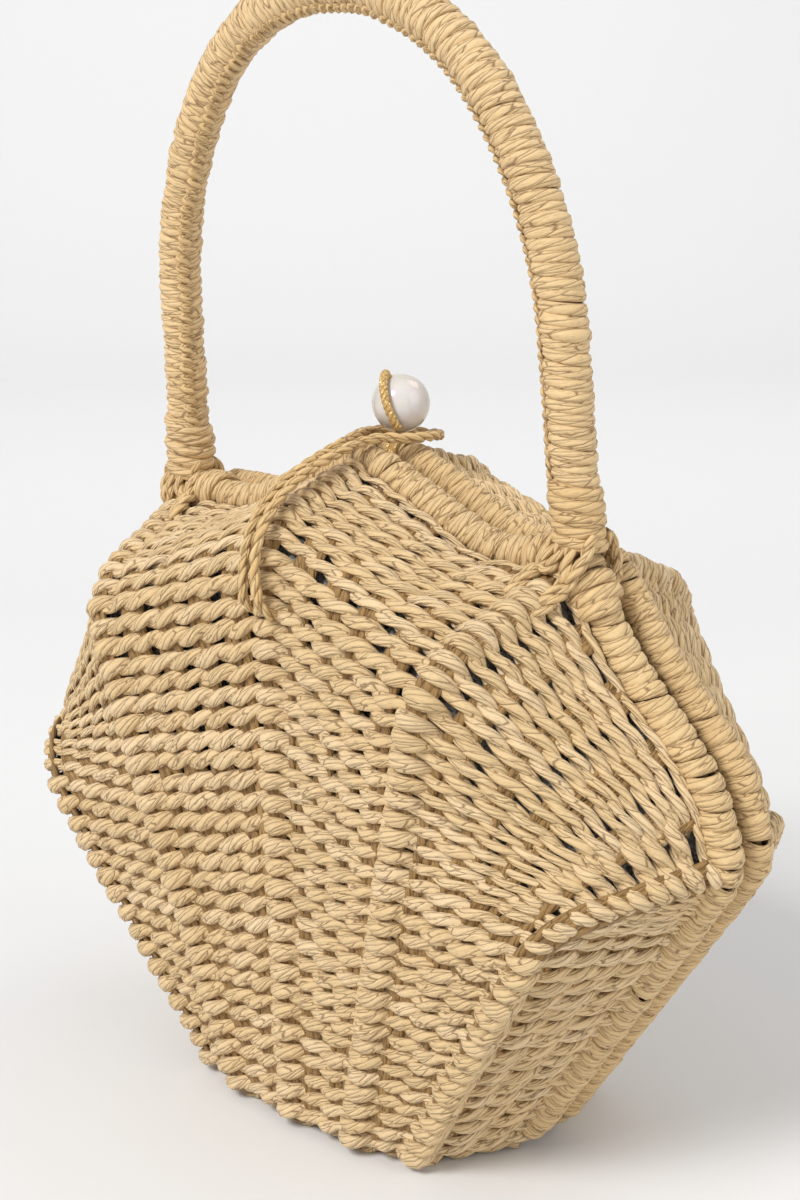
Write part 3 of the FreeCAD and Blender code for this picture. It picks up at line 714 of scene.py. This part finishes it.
def woven_row(up, spacing_up, reach=3.0, room=1.0):
    """The two strands of one row. With a room of 2 it has two rows' space past the outer ribs."""
    across, angle, gap = row_stations(up)
    inside = np.abs(across) <= reach
    across, angle, gap = across[inside], angle[inside], gap[inside]
    count = len(across)
    ups = np.full(count, up) + wander(count, 0.05 * spacing_up, 14)
    middle = wall(across, ups)
    out = wall_out(across, ups)
    ahead = unit(np.gradient(middle, axis=0))
    rise = unit(np.cross(out, ahead))
    nearby = wall(across, np.clip(ups + spacing_up, -1, 1)) - middle
    pitch = np.abs(np.sum(nearby * rise, axis=1))
    past_short = np.clip((np.abs(across) - SHORT_ACROSS + WIDEN_ACROSS) / WIDEN_ACROSS, 0, 1)
    pitch = np.clip(pitch * (1 + (room - 1) * past_short), *PITCH_RANGE)
    knuckle = np.exp(-(gap / KNUCKLE_W) ** 2)
    dive = np.exp(-((gap - DIVE_AT) / DIVE_W) ** 2)
    sharp = np.clip(1 - np.abs(np.abs(across) - 2) / 0.3, 0, 1)
    proud = KNUCKLE * knuckle * (1 - 0.1 * sharp) - DIVE * dive + wander(count, 0.22 * MM, 9)
    tight = np.clip(pitch / USUAL_PITCH, 0.55, 1.06)
    fat = 1 + (KNUCKLE_FAT + RIDGE_FAT * sharp) * knuckle - DIVE_THIN * dive
    phase = rng.uniform(-0.3, 0.3)
    if reach < 3:
        proud = proud - TUCK * np.clip((np.abs(across) - reach + TUCK_ACROSS) / TUCK_ACROSS, 0, 1)
    pair = []
    for k in (0, 1):
        swing = math.pi * k - (angle + phase)
        height = SPREAD * pitch * np.cos(swing) * (1 - 0.35 * knuckle)
        depth = DEPTH * np.sin(swing) * np.sqrt(tight)
        centre = middle + rise * height[:, None] + out * (proud + depth)[:, None]
        leaf = 1 + 0.13 * np.sin(swing)
        thick = PAIR_R * tight * fat * leaf * (1 + wander(count, 0.07, 5)) * rng.uniform(0.93, 1.07)
        pair.append(strand(centre, out, thick, PAIR_FLAT))
    return pair


def upright(across, reach, offset, radius, lift):
    """One strand of straw that stands between the ribs or on one. lift is how far out it lies."""
    count = 110
    ups = np.linspace(reach[0], reach[1], count)
    line = wall(np.full(count, across), ups)
    out = wall_out(np.full(count, across), ups)
    beside = unit(np.cross(unit(np.gradient(line, axis=0)), out))
    drift = offset + wander(count, 0.25 * MM, 10)
    return strand(line + beside * drift[:, None] + out * lift, out, radius, 0.6)


def mirrored(mesh, name):
    """The same mesh for the back half."""
    copy = mesh.copy()
    copy.name = name
    copy.transform(Matrix.Diagonal((1, -1, 1, 1)))
    copy.flip_normals()
    return copy


def rows_mesh(name, rows, spacing_up):
    pairs = []
    for index, up in rows:
        short = index >= SHORT_FROM and index % 2 == 1 and up > 0
        long_room = 2.0 if index >= SHORT_FROM and up > 0 else 1.0
        pairs += woven_row(up, spacing_up, SHORT_ACROSS if short else 3.0, long_room)
    return strands_mesh(name, pairs)


def warps_mesh(name):
    found = []
    for step in range(-14, 15):
        across = step / UPRIGHTS_PER_PANEL
        at_rib = step % UPRIGHTS_PER_PANEL == 0
        radius = (RIB_UPRIGHT_R if at_rib else UPRIGHT_R) * MM
        for offset, lift in RIB_UPRIGHTS if at_rib else UPRIGHTS:
            found.append(upright(across, UPRIGHT_REACH, offset * MM, radius, lift * MM))
    return strands_mesh(name, found, sides=6)


LOWER_ROWS = 18          # the rest of the wall's rows are a piece of their own
spacing, base_spacing = 1.0 / FACE_ROWS, 1.0 / (BASE_ROWS + 0.4)
face_rows = [(j, (j + 0.5) * spacing) for j in range(FACE_ROWS)]
base_rows = [(j + 1, -(j + 0.6) / (BASE_ROWS + 0.4)) for j in range(BASE_ROWS)]
halves = {"lower_weave": rows_mesh("lower_weave", face_rows[:LOWER_ROWS], spacing),
          "upper_weave": rows_mesh("upper_weave", face_rows[LOWER_ROWS:], spacing),
          "base_weave": rows_mesh("base_weave", base_rows, base_spacing),
          "upright_straws": warps_mesh("upright_straws")}
for name, mesh in halves.items():
    for prefix, body in (("front", "front_half"), ("back", "back_half")):
        full = prefix + "_" + name
        own = mesh if prefix == "front" else mirrored(mesh, full)
        stands_for = [prefix + "_weave"] if name == "lower_weave" else []
        # The upright straws take the straw that is painted a deeper brown, as shade in the gaps.
        straw = UPRIGHT_STRAW_PAINTED_SHADE if name == "upright_straws" else WEAVE_STRAW
        finish_piece(full, own, straw, body, stands_for)

# %% [markdown]
# ## Wound straw
# The hoops, the bottom bars and the handle are wire or cane with straw wound tightly round it.
# A winding is a helix about the core's line. All these lines lie in a plane, so a point of the
# helix is the line's own point, moved by a cosine square to the line in that plane and a sine
# along the plane's normal. The straw is pressed flat on the core, wider than it is thick.

# %% Windings
def winding(line, normal, core, pitch, radius, flat, slant=0.0, steps=14):
    """Straw wound round a line that lies in a plane. normal is the plane's normal."""
    total = lengths_along(line)[-1]
    turns = max(1, round(total / pitch))
    count = turns * steps + 1
    centre = resampled(line, count)
    ahead = unit(np.gradient(centre, axis=0))
    normal = np.broadcast_to(np.asarray(normal, float), centre.shape)
    inward = np.cross(ahead, normal)
    angle = np.linspace(0, 2 * math.pi * turns, count)
    out = inward * np.cos(angle)[:, None] + normal * np.sin(angle)[:, None]
    lean = slant * np.cos(angle + 0.6)
    swell = 1 + wander(count, 0.07, steps // 2)
    lift = core * (1 + wander(count, 0.04, steps // 2))
    places = centre + out * lift[:, None] + ahead * lean[:, None]
    places += ahead * wander(count, 0.07 * pitch, steps // 2)[:, None]
    return strand(places, out, radius * swell, flat)


HOOP_STRAW_R = 2.35 * MM
HOOP_FLAT = 0.5
HOOP_PITCH = 4.0 * MM
HOOP_SLANT = 1.3 * MM    # how far a turn leans along the hoop
HOOP_WOUND_R = RIM_R - HOOP_STRAW_R * HOOP_FLAT
BAR_GAP = 1.2 * MM       # from a bar's winding to the lashing beside it
LASH_X = (-36.0 * MM, 0.0, 36.0 * MM)
LASH_HALF = 6.0 * MM


def hoop_run(line, start, end):
    """The stretch of a hoop's line between two lengths along it."""
    along = lengths_along(line)
    fine = resampled(line, 1600)
    at = np.linspace(0, along[-1], 1600)
    return fine[(at >= start) & (at <= end)]


UP_Y = np.array([0.0, 1.0, 0.0])
for prefix, line, body, pitch in (("front", front_hoop, "front_half", HOOP_PITCH * 1.08),
                                  ("back", back_hoop, "back_half", HOOP_PITCH)):
    total = lengths_along(line)[-1]
    clear = LASH_X[2] + LASH_HALF + 0.6 * MM
    run = winding(hoop_run(line, clear, total - clear), UP_Y, HOOP_WOUND_R, pitch, HOOP_STRAW_R,
                  HOOP_FLAT, HOOP_SLANT)
    strand_piece(prefix + "_hoop_winding", [run], WOUND_STRAW, body,
                 [prefix + "_rim_wrap"])
    for side, name in ((-1, "left"), (1, "right")):
        y = line[0][1]
        near, far = LASH_HALF + BAR_GAP, LASH_X[2] - LASH_HALF - BAR_GAP
        ends = sorted((side * near, side * far))
        bar = np.array([(ends[0], y, BAR_Z), (ends[1], y, BAR_Z)])
        coil = winding(bar, UP_Y, HOOP_WOUND_R, pitch, HOOP_STRAW_R * 0.94, HOOP_FLAT)
        strand_piece(prefix + "_bar_winding_" + name, [coil], WOUND_STRAW, body,
                     [prefix + "_bar_wrap_" + name])

# %% [markdown]
# ## Hinge lashings
# Three bands of straw go round both bottom bars. The front bar is held fast, and the back bar
# turns inside them, which is the purse's hinge. Each band is one strand whose path is two half
# circles joined by straight runs, moved along the bar a little on every turn.

# %% Hinge lashings
def lashing(x):
    radius = RIM_R - 1.15 * MM
    turns, steps = 4, 40
    angle = np.linspace(0, 2 * math.pi * turns, turns * steps + 1)
    across = radius * np.cos(angle)
    middle = RIM_Y * np.tanh(5 * np.cos(angle))
    span = LASH_HALF - 1.5 * MM
    along = np.linspace(x - span, x + span, len(angle))
    places = np.stack([along, middle + across, BAR_Z + radius * np.sin(angle)], axis=1)
    out = np.stack([np.zeros_like(angle), np.cos(angle), np.sin(angle)], axis=1)
    return strand(places, out, 1.75 * MM, 0.62)


for name, x in zip(("left", "centre", "right"), LASH_X):
    strand_piece("hinge_binding_" + name, [lashing(x)], WOUND_STRAW, "front_half",
                 ["hinge_lashing_" + name])

# %% [markdown]
# ## Handle
# The handle is a cane arch wound with straw. Along its outer side every turn is caught by a half
# hitch, which makes a raised zigzag ridge. Thicker turns sit at its feet. Below them fat straw is
# wound round the hoop, and four strands on each side come down over the hoop as two narrow V
# shapes that lock the leg in place.

# %% Handle
FOOT = (73.0, 169.0)
KNEE = (70.5, 225.0)
TOP_Z = 308.0
TOP_BEND = 62.0
LEAN = math.radians(3.9)
HANDLE_R = 6.15 * MM
HANDLE_STRAW_R = 1.78 * MM
HANDLE_FLAT = 0.72
HANDLE_PITCH = 2.95 * MM
COLLAR_Z = (172.5, 189.0)
COLLAR_R = 7.25 * MM
STUMP = 17.0 * MM        # the foot's turns hide this much of the arch's own winding
HITCH_R = 0.95 * MM
HITCH_HALF = 1.4 * MM    # half the zigzag's width
HITCH_TURNED = 0.55      # radians from the arch's outer side towards the front


def leaned(x, z):
    """A point of the handle's plane, which leans a little to the front."""
    s = (np.asarray(z, float) - FOOT[1]) * MM
    x = np.asarray(x, float) * MM
    return np.stack(np.broadcast_arrays(x, -RIM_Y - s * math.sin(LEAN),
                                        FOOT[1] * MM + s * math.cos(LEAN)), axis=-1)


def handle_line():
    """Leg, side arc, crown, side arc and leg, all tangent to each other."""
    tilt = math.atan2(FOOT[0] - KNEE[0], KNEE[1] - FOOT[1])
    crown = TOP_Z - TOP_BEND
    drop = KNEE[1] - crown
    side = (KNEE[0] ** 2 + drop ** 2 - TOP_BEND ** 2) / (
        2 * (KNEE[0] * math.cos(tilt) + drop * math.sin(tilt) - TOP_BEND))
    cx = KNEE[0] - side * math.cos(tilt)
    cz = KNEE[1] - side * math.sin(tilt)
    meet = math.atan2(crown - cz, -cx)
    lower = np.linspace(tilt, meet, 40)
    upper = np.linspace(meet, math.pi / 2, 30)[1:]
    x = np.concatenate([[FOOT[0]], cx + side * np.cos(lower), TOP_BEND * np.cos(upper)])
    z = np.concatenate([[FOOT[1]], cz + side * np.sin(lower), crown + TOP_BEND * np.sin(upper)])
    right = leaned(x, z)
    left = leaned(-x[::-1], z[::-1])
    return np.concatenate([right, left[1:]])


LEAN_NORMAL = np.array([0.0, math.cos(LEAN), math.sin(LEAN)])
arch = handle_line()
arch_length = lengths_along(arch)[-1]
coil = winding(hoop_run(arch, STUMP, arch_length - STUMP), LEAN_NORMAL,
               HANDLE_R - HANDLE_STRAW_R * HANDLE_FLAT, HANDLE_PITCH, HANDLE_STRAW_R, HANDLE_FLAT,
               0.7 * MM)


def hitch_ridge(line):
    """The zigzag of half hitches along the arch's outer side."""
    turns = round(lengths_along(line)[-1] / HANDLE_PITCH)
    centre = resampled(line, turns * 6 + 1)
    ahead = unit(np.gradient(centre, axis=0))
    outer = np.cross(LEAN_NORMAL, ahead) * -1
    angle = np.linspace(0, 2 * math.pi * turns, len(centre))
    side = HITCH_HALF * np.cos(angle) + wander(len(centre), 0.25 * MM, 8)
    lift = HANDLE_R - 0.2 * MM + 0.4 * MM * np.sin(angle)
    turned = HITCH_TURNED + wander(len(centre), 0.08, 20)
    out = outer * np.cos(turned)[:, None] - LEAN_NORMAL * np.sin(turned)[:, None]
    across = np.cross(ahead, out)
    return strand(centre + out * lift[:, None] + across * side[:, None], out, HITCH_R, 0.8)


middle = hoop_run(arch, STUMP + 2 * MM, arch_length - STUMP - 2 * MM)
strand_piece("handle_winding", [coil], HANDLE_STRAW, "front_half", ["handle_wrap"])
strand_piece("handle_hitches", [hitch_ridge(middle)], HANDLE_STRAW, "front_half",
             sides=6)


def saddle_line(side):
    """The stretch of the front hoop that a leg is tied to."""
    names = ("valley", "shoulder", "waist")
    corners = [(side * HOOP[n][0], -RIM_Y / MM, HOOP[n][1]) for n in names]
    line = rounded(corners, [0.0, HOOP_BEND["shoulder"], 0.0])
    along = lengths_along(line)
    middle_at = along[1 + ARC_STEPS // 2]
    return hoop_run(line, middle_at - 13.5 * MM, middle_at + 12.5 * MM)


def two_ply(points, offset, radius):
    """A short cord of two plies, smooth through its points."""
    return plies(resampled(smooth_route(points), 40), 2, offset, radius, 9.0 * MM)


def v_strands(side):
    """Four cords from the foot's turns over the hoop, which meet in pairs on the wall below it,
    and four shorter ones behind the hoop."""
    made = []
    for start, tip in ((-5.6, -0.085), (-1.4, -0.070), (1.6, 0.035), (5.6, 0.055)):
        x = side * (FOOT[0] + start) * MM
        deep = abs(start) / 5.6
        spot = np.full(3, side * (1 + tip))
        up = np.array([0.985, 0.945, 0.925])
        land = wall(spot, up) + wall_out(spot, up) * np.array([2.6, 2.4, 0.4])[:, None] * MM
        points = [(x, -RIM_Y - (5.4 - 2.5 * deep) * MM, 177.0 * MM),
                  (x, -RIM_Y - (7.4 - 2.4 * deep) * MM, 171.5 * MM),
                  ((x + land[0][0]) / 2, -RIM_Y - 8.4 * MM, 167.5 * MM)]
        points += [tuple(p) for p in land]
        made += two_ply(points, 0.72 * MM, 1.05 * MM)
    for start in (-5.0, -1.7, 1.7, 5.0):
        x = side * (FOOT[0] + start) * MM
        points = [(x, -RIM_Y + 4.0 * MM, 177.0 * MM), (x, -RIM_Y + 7.4 * MM, 172.0 * MM),
                  (x * 1.01, -RIM_Y + 7.6 * MM, 166.0 * MM),
                  (x * 1.02, -RIM_Y + 4.0 * MM, 160.5 * MM)]
        made += two_ply(points, 0.75 * MM, 1.0 * MM)
    return made


for side, name in ((-1, "left"), (1, "right")):
    tie = winding(saddle_line(side), UP_Y, 5.6 * MM, 3.7 * MM, 2.05 * MM, 0.72, 0.6 * MM)
    strand_piece("handle_binding_" + name, [tie] + v_strands(side), WOUND_STRAW, "front_half",
                 ["handle_tie_" + name])
    leg = leaned(np.full(30, side * FOOT[0]) - side * np.linspace(0, 0.9, 30),
                 np.linspace(COLLAR_Z[0], COLLAR_Z[1], 30))
    turns = winding(leg, LEAN_NORMAL, COLLAR_R - 1.5 * MM, 3.5 * MM, 1.95 * MM, 0.78, 0.8 * MM)
    strand_piece("handle_foot_turns_" + name, [turns], HANDLE_STRAW, "front_half",
                 ["handle_collar_" + name])

# %% [markdown]
# ## Lining and gussets
# The inside is lined with grey speckled cotton, stiffened and stretched over the weave. The cloth
# is a grid that is laid on the wall's own surface, a little inside it, and solidified to its
# thickness. The gussets are strips of the same cloth that join the two linings at the sides.
# They fold inwards when the purse is shut.

# %% Cloth material
THREAD_MM = 0.55         # a real thread is about 0.3 mm, drawn coarser so that it shows


def cloth_material():
    material, tree, shader = new_material("woven_grey_cotton")
    place = node(tree, "TexCoord").outputs["Object"]
    threads = 2 * math.pi / (THREAD_MM * MM) / 20
    warp, weft = [node(tree, "TexWave", {"bands_direction": way, "Scale": threads,
                                         "Distortion": 0.6}, {"Vector": place}) for way in "XZ"]
    over = node(tree, "Math", {"operation": "MULTIPLY"},
                {0: warp.outputs["Fac"], 1: weft.outputs["Fac"]})
    speck = node(tree, "TexVoronoi", {"Scale": 1100.0}, {"Vector": place})
    pick = ranged(tree, speck.outputs["Color"], 0.25, 0.75)
    tree.links.new(mixed(tree, pick, "#5F5C58", "#C2BEB8"), shader.inputs["Base Color"])
    add_bump(tree, shader, 0.5, 0.0003, over)
    set_values(shader, Roughness=0.88, Sheen_Weight=0.25)
    return material


CLOTH = cloth_material()

# %% Lining
LINING_IN = 4.3 * MM
CLOTH_T = 0.8 * MM


def lining_mesh(name):
    """A grid on the inside of the front wall, with a lip that stands up beside the hoop."""
    bm = bmesh.new()
    columns, rows = 84, 70
    bmesh.ops.create_grid(bm, x_segments=columns, y_segments=rows, size=1.0)
    bm.verts.ensure_lookup_table()
    grid = np.array([v.co for v in bm.verts])
    across = grid[:, 0] * 2.93
    up = -0.80 + (grid[:, 1] + 1) / 2 * 1.78
    places = wall(across, up) - wall_out(across, up) * LINING_IN
    lip = np.clip((up - 0.93) / 0.05, 0, 1)[:, None]
    places += lip * np.array([0.0, 3.6 * MM, 1.0 * MM])
    for vert, place in zip(bm.verts, places):
        vert.co = place
    area = sum(f.calc_area() for f in bm.faces)
    return write_mesh(bm, bpy.data.meshes.new(name)), area


def add_thickness(piece):
    solid = piece.modifiers.new("cloth_thickness", "SOLIDIFY")
    solid.thickness = CLOTH_T
    solid.offset = 0.0


front_cloth, cloth_area = lining_mesh("front_cloth")
for prefix, body in (("front", "front_half"), ("back", "back_half")):
    mesh = front_cloth if prefix == "front" else mirrored(front_cloth, "back_cloth")
    cloth = finish_piece(prefix + "_lining_cloth", mesh, CLOTH, body,
                         [prefix + "_lining"])
    add_thickness(cloth)
print("lining area %.0f cm2" % (cloth_area * 1e4))

# %% Gussets
GUSSET_FOLD = 3.0 * MM
GUSSET_HALF = 6.2 * MM   # half the way from one hoop's lining to the other's
GUSSET_INSET = 6.1       # mm from the hoop's centre line, inwards


def gusset_mesh(name, side):
    low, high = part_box("gusset_" + name)
    bm = bmesh.new()
    bmesh.ops.create_grid(bm, x_segments=12, y_segments=40, size=1.0)
    (bx, bz), (cx, cz) = HOOP["bar"], HOOP["corner"]
    slope = (cx - bx) / (cz - bz)
    inset = GUSSET_INSET / math.cos(math.atan(slope))
    for vert in bm.verts:
        y = vert.co.x * GUSSET_HALF
        z = low[2] + (vert.co.y + 1) / 2 * (high[2] - low[2])
        fold = GUSSET_FOLD * (1 - abs(vert.co.x))
        x = (bx + (z / MM - bz) * slope - inset) * MM - fold
        vert.co = (side * x, y, z)
    return write_mesh(bm, bpy.data.meshes.new("gusset_cloth_" + name))


for side, name in ((-1, "left"), (1, "right")):
    cloth = finish_piece("gusset_cloth_" + name, gusset_mesh(name, side), CLOTH, None,
                         ["gusset_" + name])
    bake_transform(cloth)
    add_thickness(cloth)

# %% [markdown]
# ## Pearl
# The button is a 16 mm bead with a pearl lacquer: a white core under a clear coat with a soft
# second sheen that is a little pink and green. A sphere whose pole points along the bore makes
# the hole easy: the pole's faces are deleted and the rim is extruded into the bead.

# %% Pearl
PEARL_R = 8.0 * MM
BORE_R = 0.9 * MM
BORE = Vector((-0.20, -0.40, 0.895)).normalized()


def pearl_material():
    material, tree, shader = new_material("pearl_lacquer")
    place = node(tree, "TexCoord")
    cloud = node(tree, "TexNoise", {"Scale": 130.0, "Detail": 3.0, "Distortion": 0.8},
                 {"Vector": place.outputs["Object"]})
    edge = node(tree, "LayerWeight", {"Blend": 0.35})
    nacre = mixed(tree, cloud, "#E4E0DA", "#D5D1CC")
    # Painted shade: the base colour greys towards the bead's outline.
    rim = mixed(tree, edge.outputs["Facing"], nacre, "#A9A39C")
    tree.links.new(rim, shader.inputs["Base Color"])
    set_values(shader, Roughness=0.22, Coat_Weight=1.0, Coat_Roughness=0.05,
               Subsurface_Weight=0.15, Subsurface_Scale=0.002, Thin_Film_Thickness=330.0)
    return material


def pearl_mesh():
    low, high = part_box("pearl_button")
    centre = (Vector(low) + Vector(high)) / 2
    bm = bmesh.new()
    bmesh.ops.create_uvsphere(bm, u_segments=56, v_segments=40, radius=PEARL_R)
    poles = [v for v in bm.verts if math.hypot(v.co.x, v.co.y) < BORE_R * 0.6]
    bmesh.ops.delete(bm, geom=poles, context="VERTS")
    for sign in (1, -1):
        rim = [e for e in bm.edges if e.is_boundary and sign * e.verts[0].co.z > PEARL_R / 2]
        made = bmesh.ops.extrude_edge_only(bm, edges=rim)["geom"]
        verts = [g for g in made if isinstance(g, bmesh.types.BMVert)]
        bmesh.ops.translate(bm, verts=verts, vec=(0, 0, -sign * PEARL_R * 0.6))
        edges = [g for g in made if isinstance(g, bmesh.types.BMEdge) and g.is_boundary]
        bmesh.ops.holes_fill(bm, edges=edges, sides=0)
    bmesh.ops.rotate(bm, verts=bm.verts, matrix=BORE.to_track_quat("Z", "Y").to_matrix())
    bmesh.ops.translate(bm, verts=bm.verts, vec=centre)
    return write_mesh(bm, bpy.data.meshes.new("pearl_bead")), np.array(centre)


bead_mesh, pearl_centre = pearl_mesh()
finish_piece("pearl_bead", bead_mesh, pearl_material(), "pearl", ["pearl_button"])

# %% [markdown]
# ## Gold tie cord
# A thin cord with a metallic thread comes out of the bore and lies over the bead's front. Three
# plies with a tight twist give it its ribbed look. The metal shows as small bright flecks on a
# dull gold ground, so the metallic value is high only where the flecks are.

# %% Gold tie cord
TIE_R = 1.2 * MM
TIE_END = unit((0.50, -0.65, -0.565))


def gold_material():
    material, tree, shader = new_material("metallised_thread_cord")
    space = node(tree, "Attribute", {"attribute_name": "crease_space"})
    flecks = node(tree, "TexVoronoi", {"Scale": 3.2}, {"Vector": space.outputs["Vector"]})
    bright = ranged(tree, flecks.outputs["Color"], 0.45, 0.75)
    tree.links.new(mixed(tree, bright, "#B98F4E", "#F0D79B"), shader.inputs["Base Color"])
    tree.links.new(bright.outputs["Result"], shader.inputs["Metallic"])
    add_bump(tree, shader, 0.6, 0.0003, flecks)
    set_values(shader, Roughness=0.45)
    return material


GOLD = gold_material()


def tie_line():
    """Out of the bore, over the bead and down to the hoop."""
    up = np.array(BORE)
    side = unit(TIE_END - up * float(np.dot(TIE_END, up)))
    last = math.acos(float(np.dot(up, TIE_END)))
    reach = PEARL_R + 0.3 * MM + TIE_R
    turns = np.linspace(0.0, last, 40)[:, None]
    over = pearl_centre + reach * (up * np.cos(turns) + side * np.sin(turns))
    stem = pearl_centre + up * np.linspace(0.55, 1.0, 6)[:, None] * PEARL_R
    return np.concatenate([stem, over])


tie_plies = plies(tie_line(), 3, 0.6 * MM, 0.68 * MM, 5.0 * MM, step=0.0005)
strand_piece("gold_tie", tie_plies, GOLD, "pearl", ["pearl_cord"])
knot_low, knot_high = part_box("pearl_knot")
knot_y, knot_z = (knot_low[1] + knot_high[1]) / 2, (knot_low[2] + knot_high[2]) / 2
knot_run = np.array([(-1.9 * MM, knot_y, knot_z), (1.9 * MM, knot_y, knot_z)])
knot_turns = winding(knot_run, UP_Y, RIM_R + 0.45 * MM, 1.3 * MM, 0.85 * MM, 0.8)
strand_piece("gold_tie_knot", [knot_turns], GOLD, "back_half", ["pearl_knot"])

# %% [markdown]
# ## Stopper knot
# Inside the front half both ends of the loop go into one overhand knot, too big for the holes. A
# trefoil is exactly an overhand knot with its ends joined, and it has a short formula.

# %% Stopper knot
def stopper_knot():
    low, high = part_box("loop_knot")
    centre = (np.array(low) + np.array(high)) / 2
    t = np.linspace(0, 2 * math.pi, 90)
    size = 1.9 * MM
    flat = np.stack([np.sin(t) + 2 * np.sin(2 * t), -1.6 * np.sin(3 * t),
                     np.cos(t) - 2 * np.cos(2 * t)], axis=1)
    places = centre + flat * size
    return strand(places, unit(flat), 1.75 * MM, 0.95)


strand_piece("stopper_knot", [stopper_knot()], LOOP_STRAW, "front_half",
             ["loop_knot"])

# %% [markdown]
# ## Wire and cane
# The hoops' wire, the ribs' wire and the handle's cane are inside the straw. They keep the packed
# meshes, and still get the finish of what they are: steel wire wrapped in brown paper so that it
# does not shine through the weave, and pale cane with a fine grain along its length.

# %% Wire and cane
def core_material(name, stretch, detail, dark, pale, bump_strength, bump_depth, roughness):
    """A fine grain, stretched by three scales, that tints the colour and drives the bump."""
    material, tree, shader = new_material(name)
    place = node(tree, "TexCoord")
    grid = node(tree, "Mapping", {"Scale": stretch}, {"Vector": place.outputs["Object"]})
    grain = node(tree, "TexNoise", {"Scale": 1.0, "Detail": detail}, {"Vector": grid})
    tree.links.new(mixed(tree, grain, dark, pale), shader.inputs["Base Color"])
    add_bump(tree, shader, bump_strength, bump_depth, grain)
    set_values(shader, Roughness=roughness)
    return material


WIRE = core_material("brown_paper_covered_wire", (900.0, 900.0, 900.0), 3.0, "#6B5233", "#84683F",
                     0.2, 0.0001, 0.7)
CANE = core_material("split_rattan_cane", (900.0, 900.0, 60.0), 4.0, "#C49A63", "#E0BE8A",
                     0.3, 0.0002, 0.5)
for name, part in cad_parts.items():
    if "rib_" in name or name.endswith("rim_wire"):
        kept = WIRE
    elif name == "handle_core":
        kept = CANE
    else:
        continue
    part.data.materials.clear()
    part.data.materials.append(kept)
print("kept nodes have their finish")

# %% [markdown]
# ## Finish
# Blender's view layer is brought up to date.

# %% Finish
bpy.context.view_layer.update()
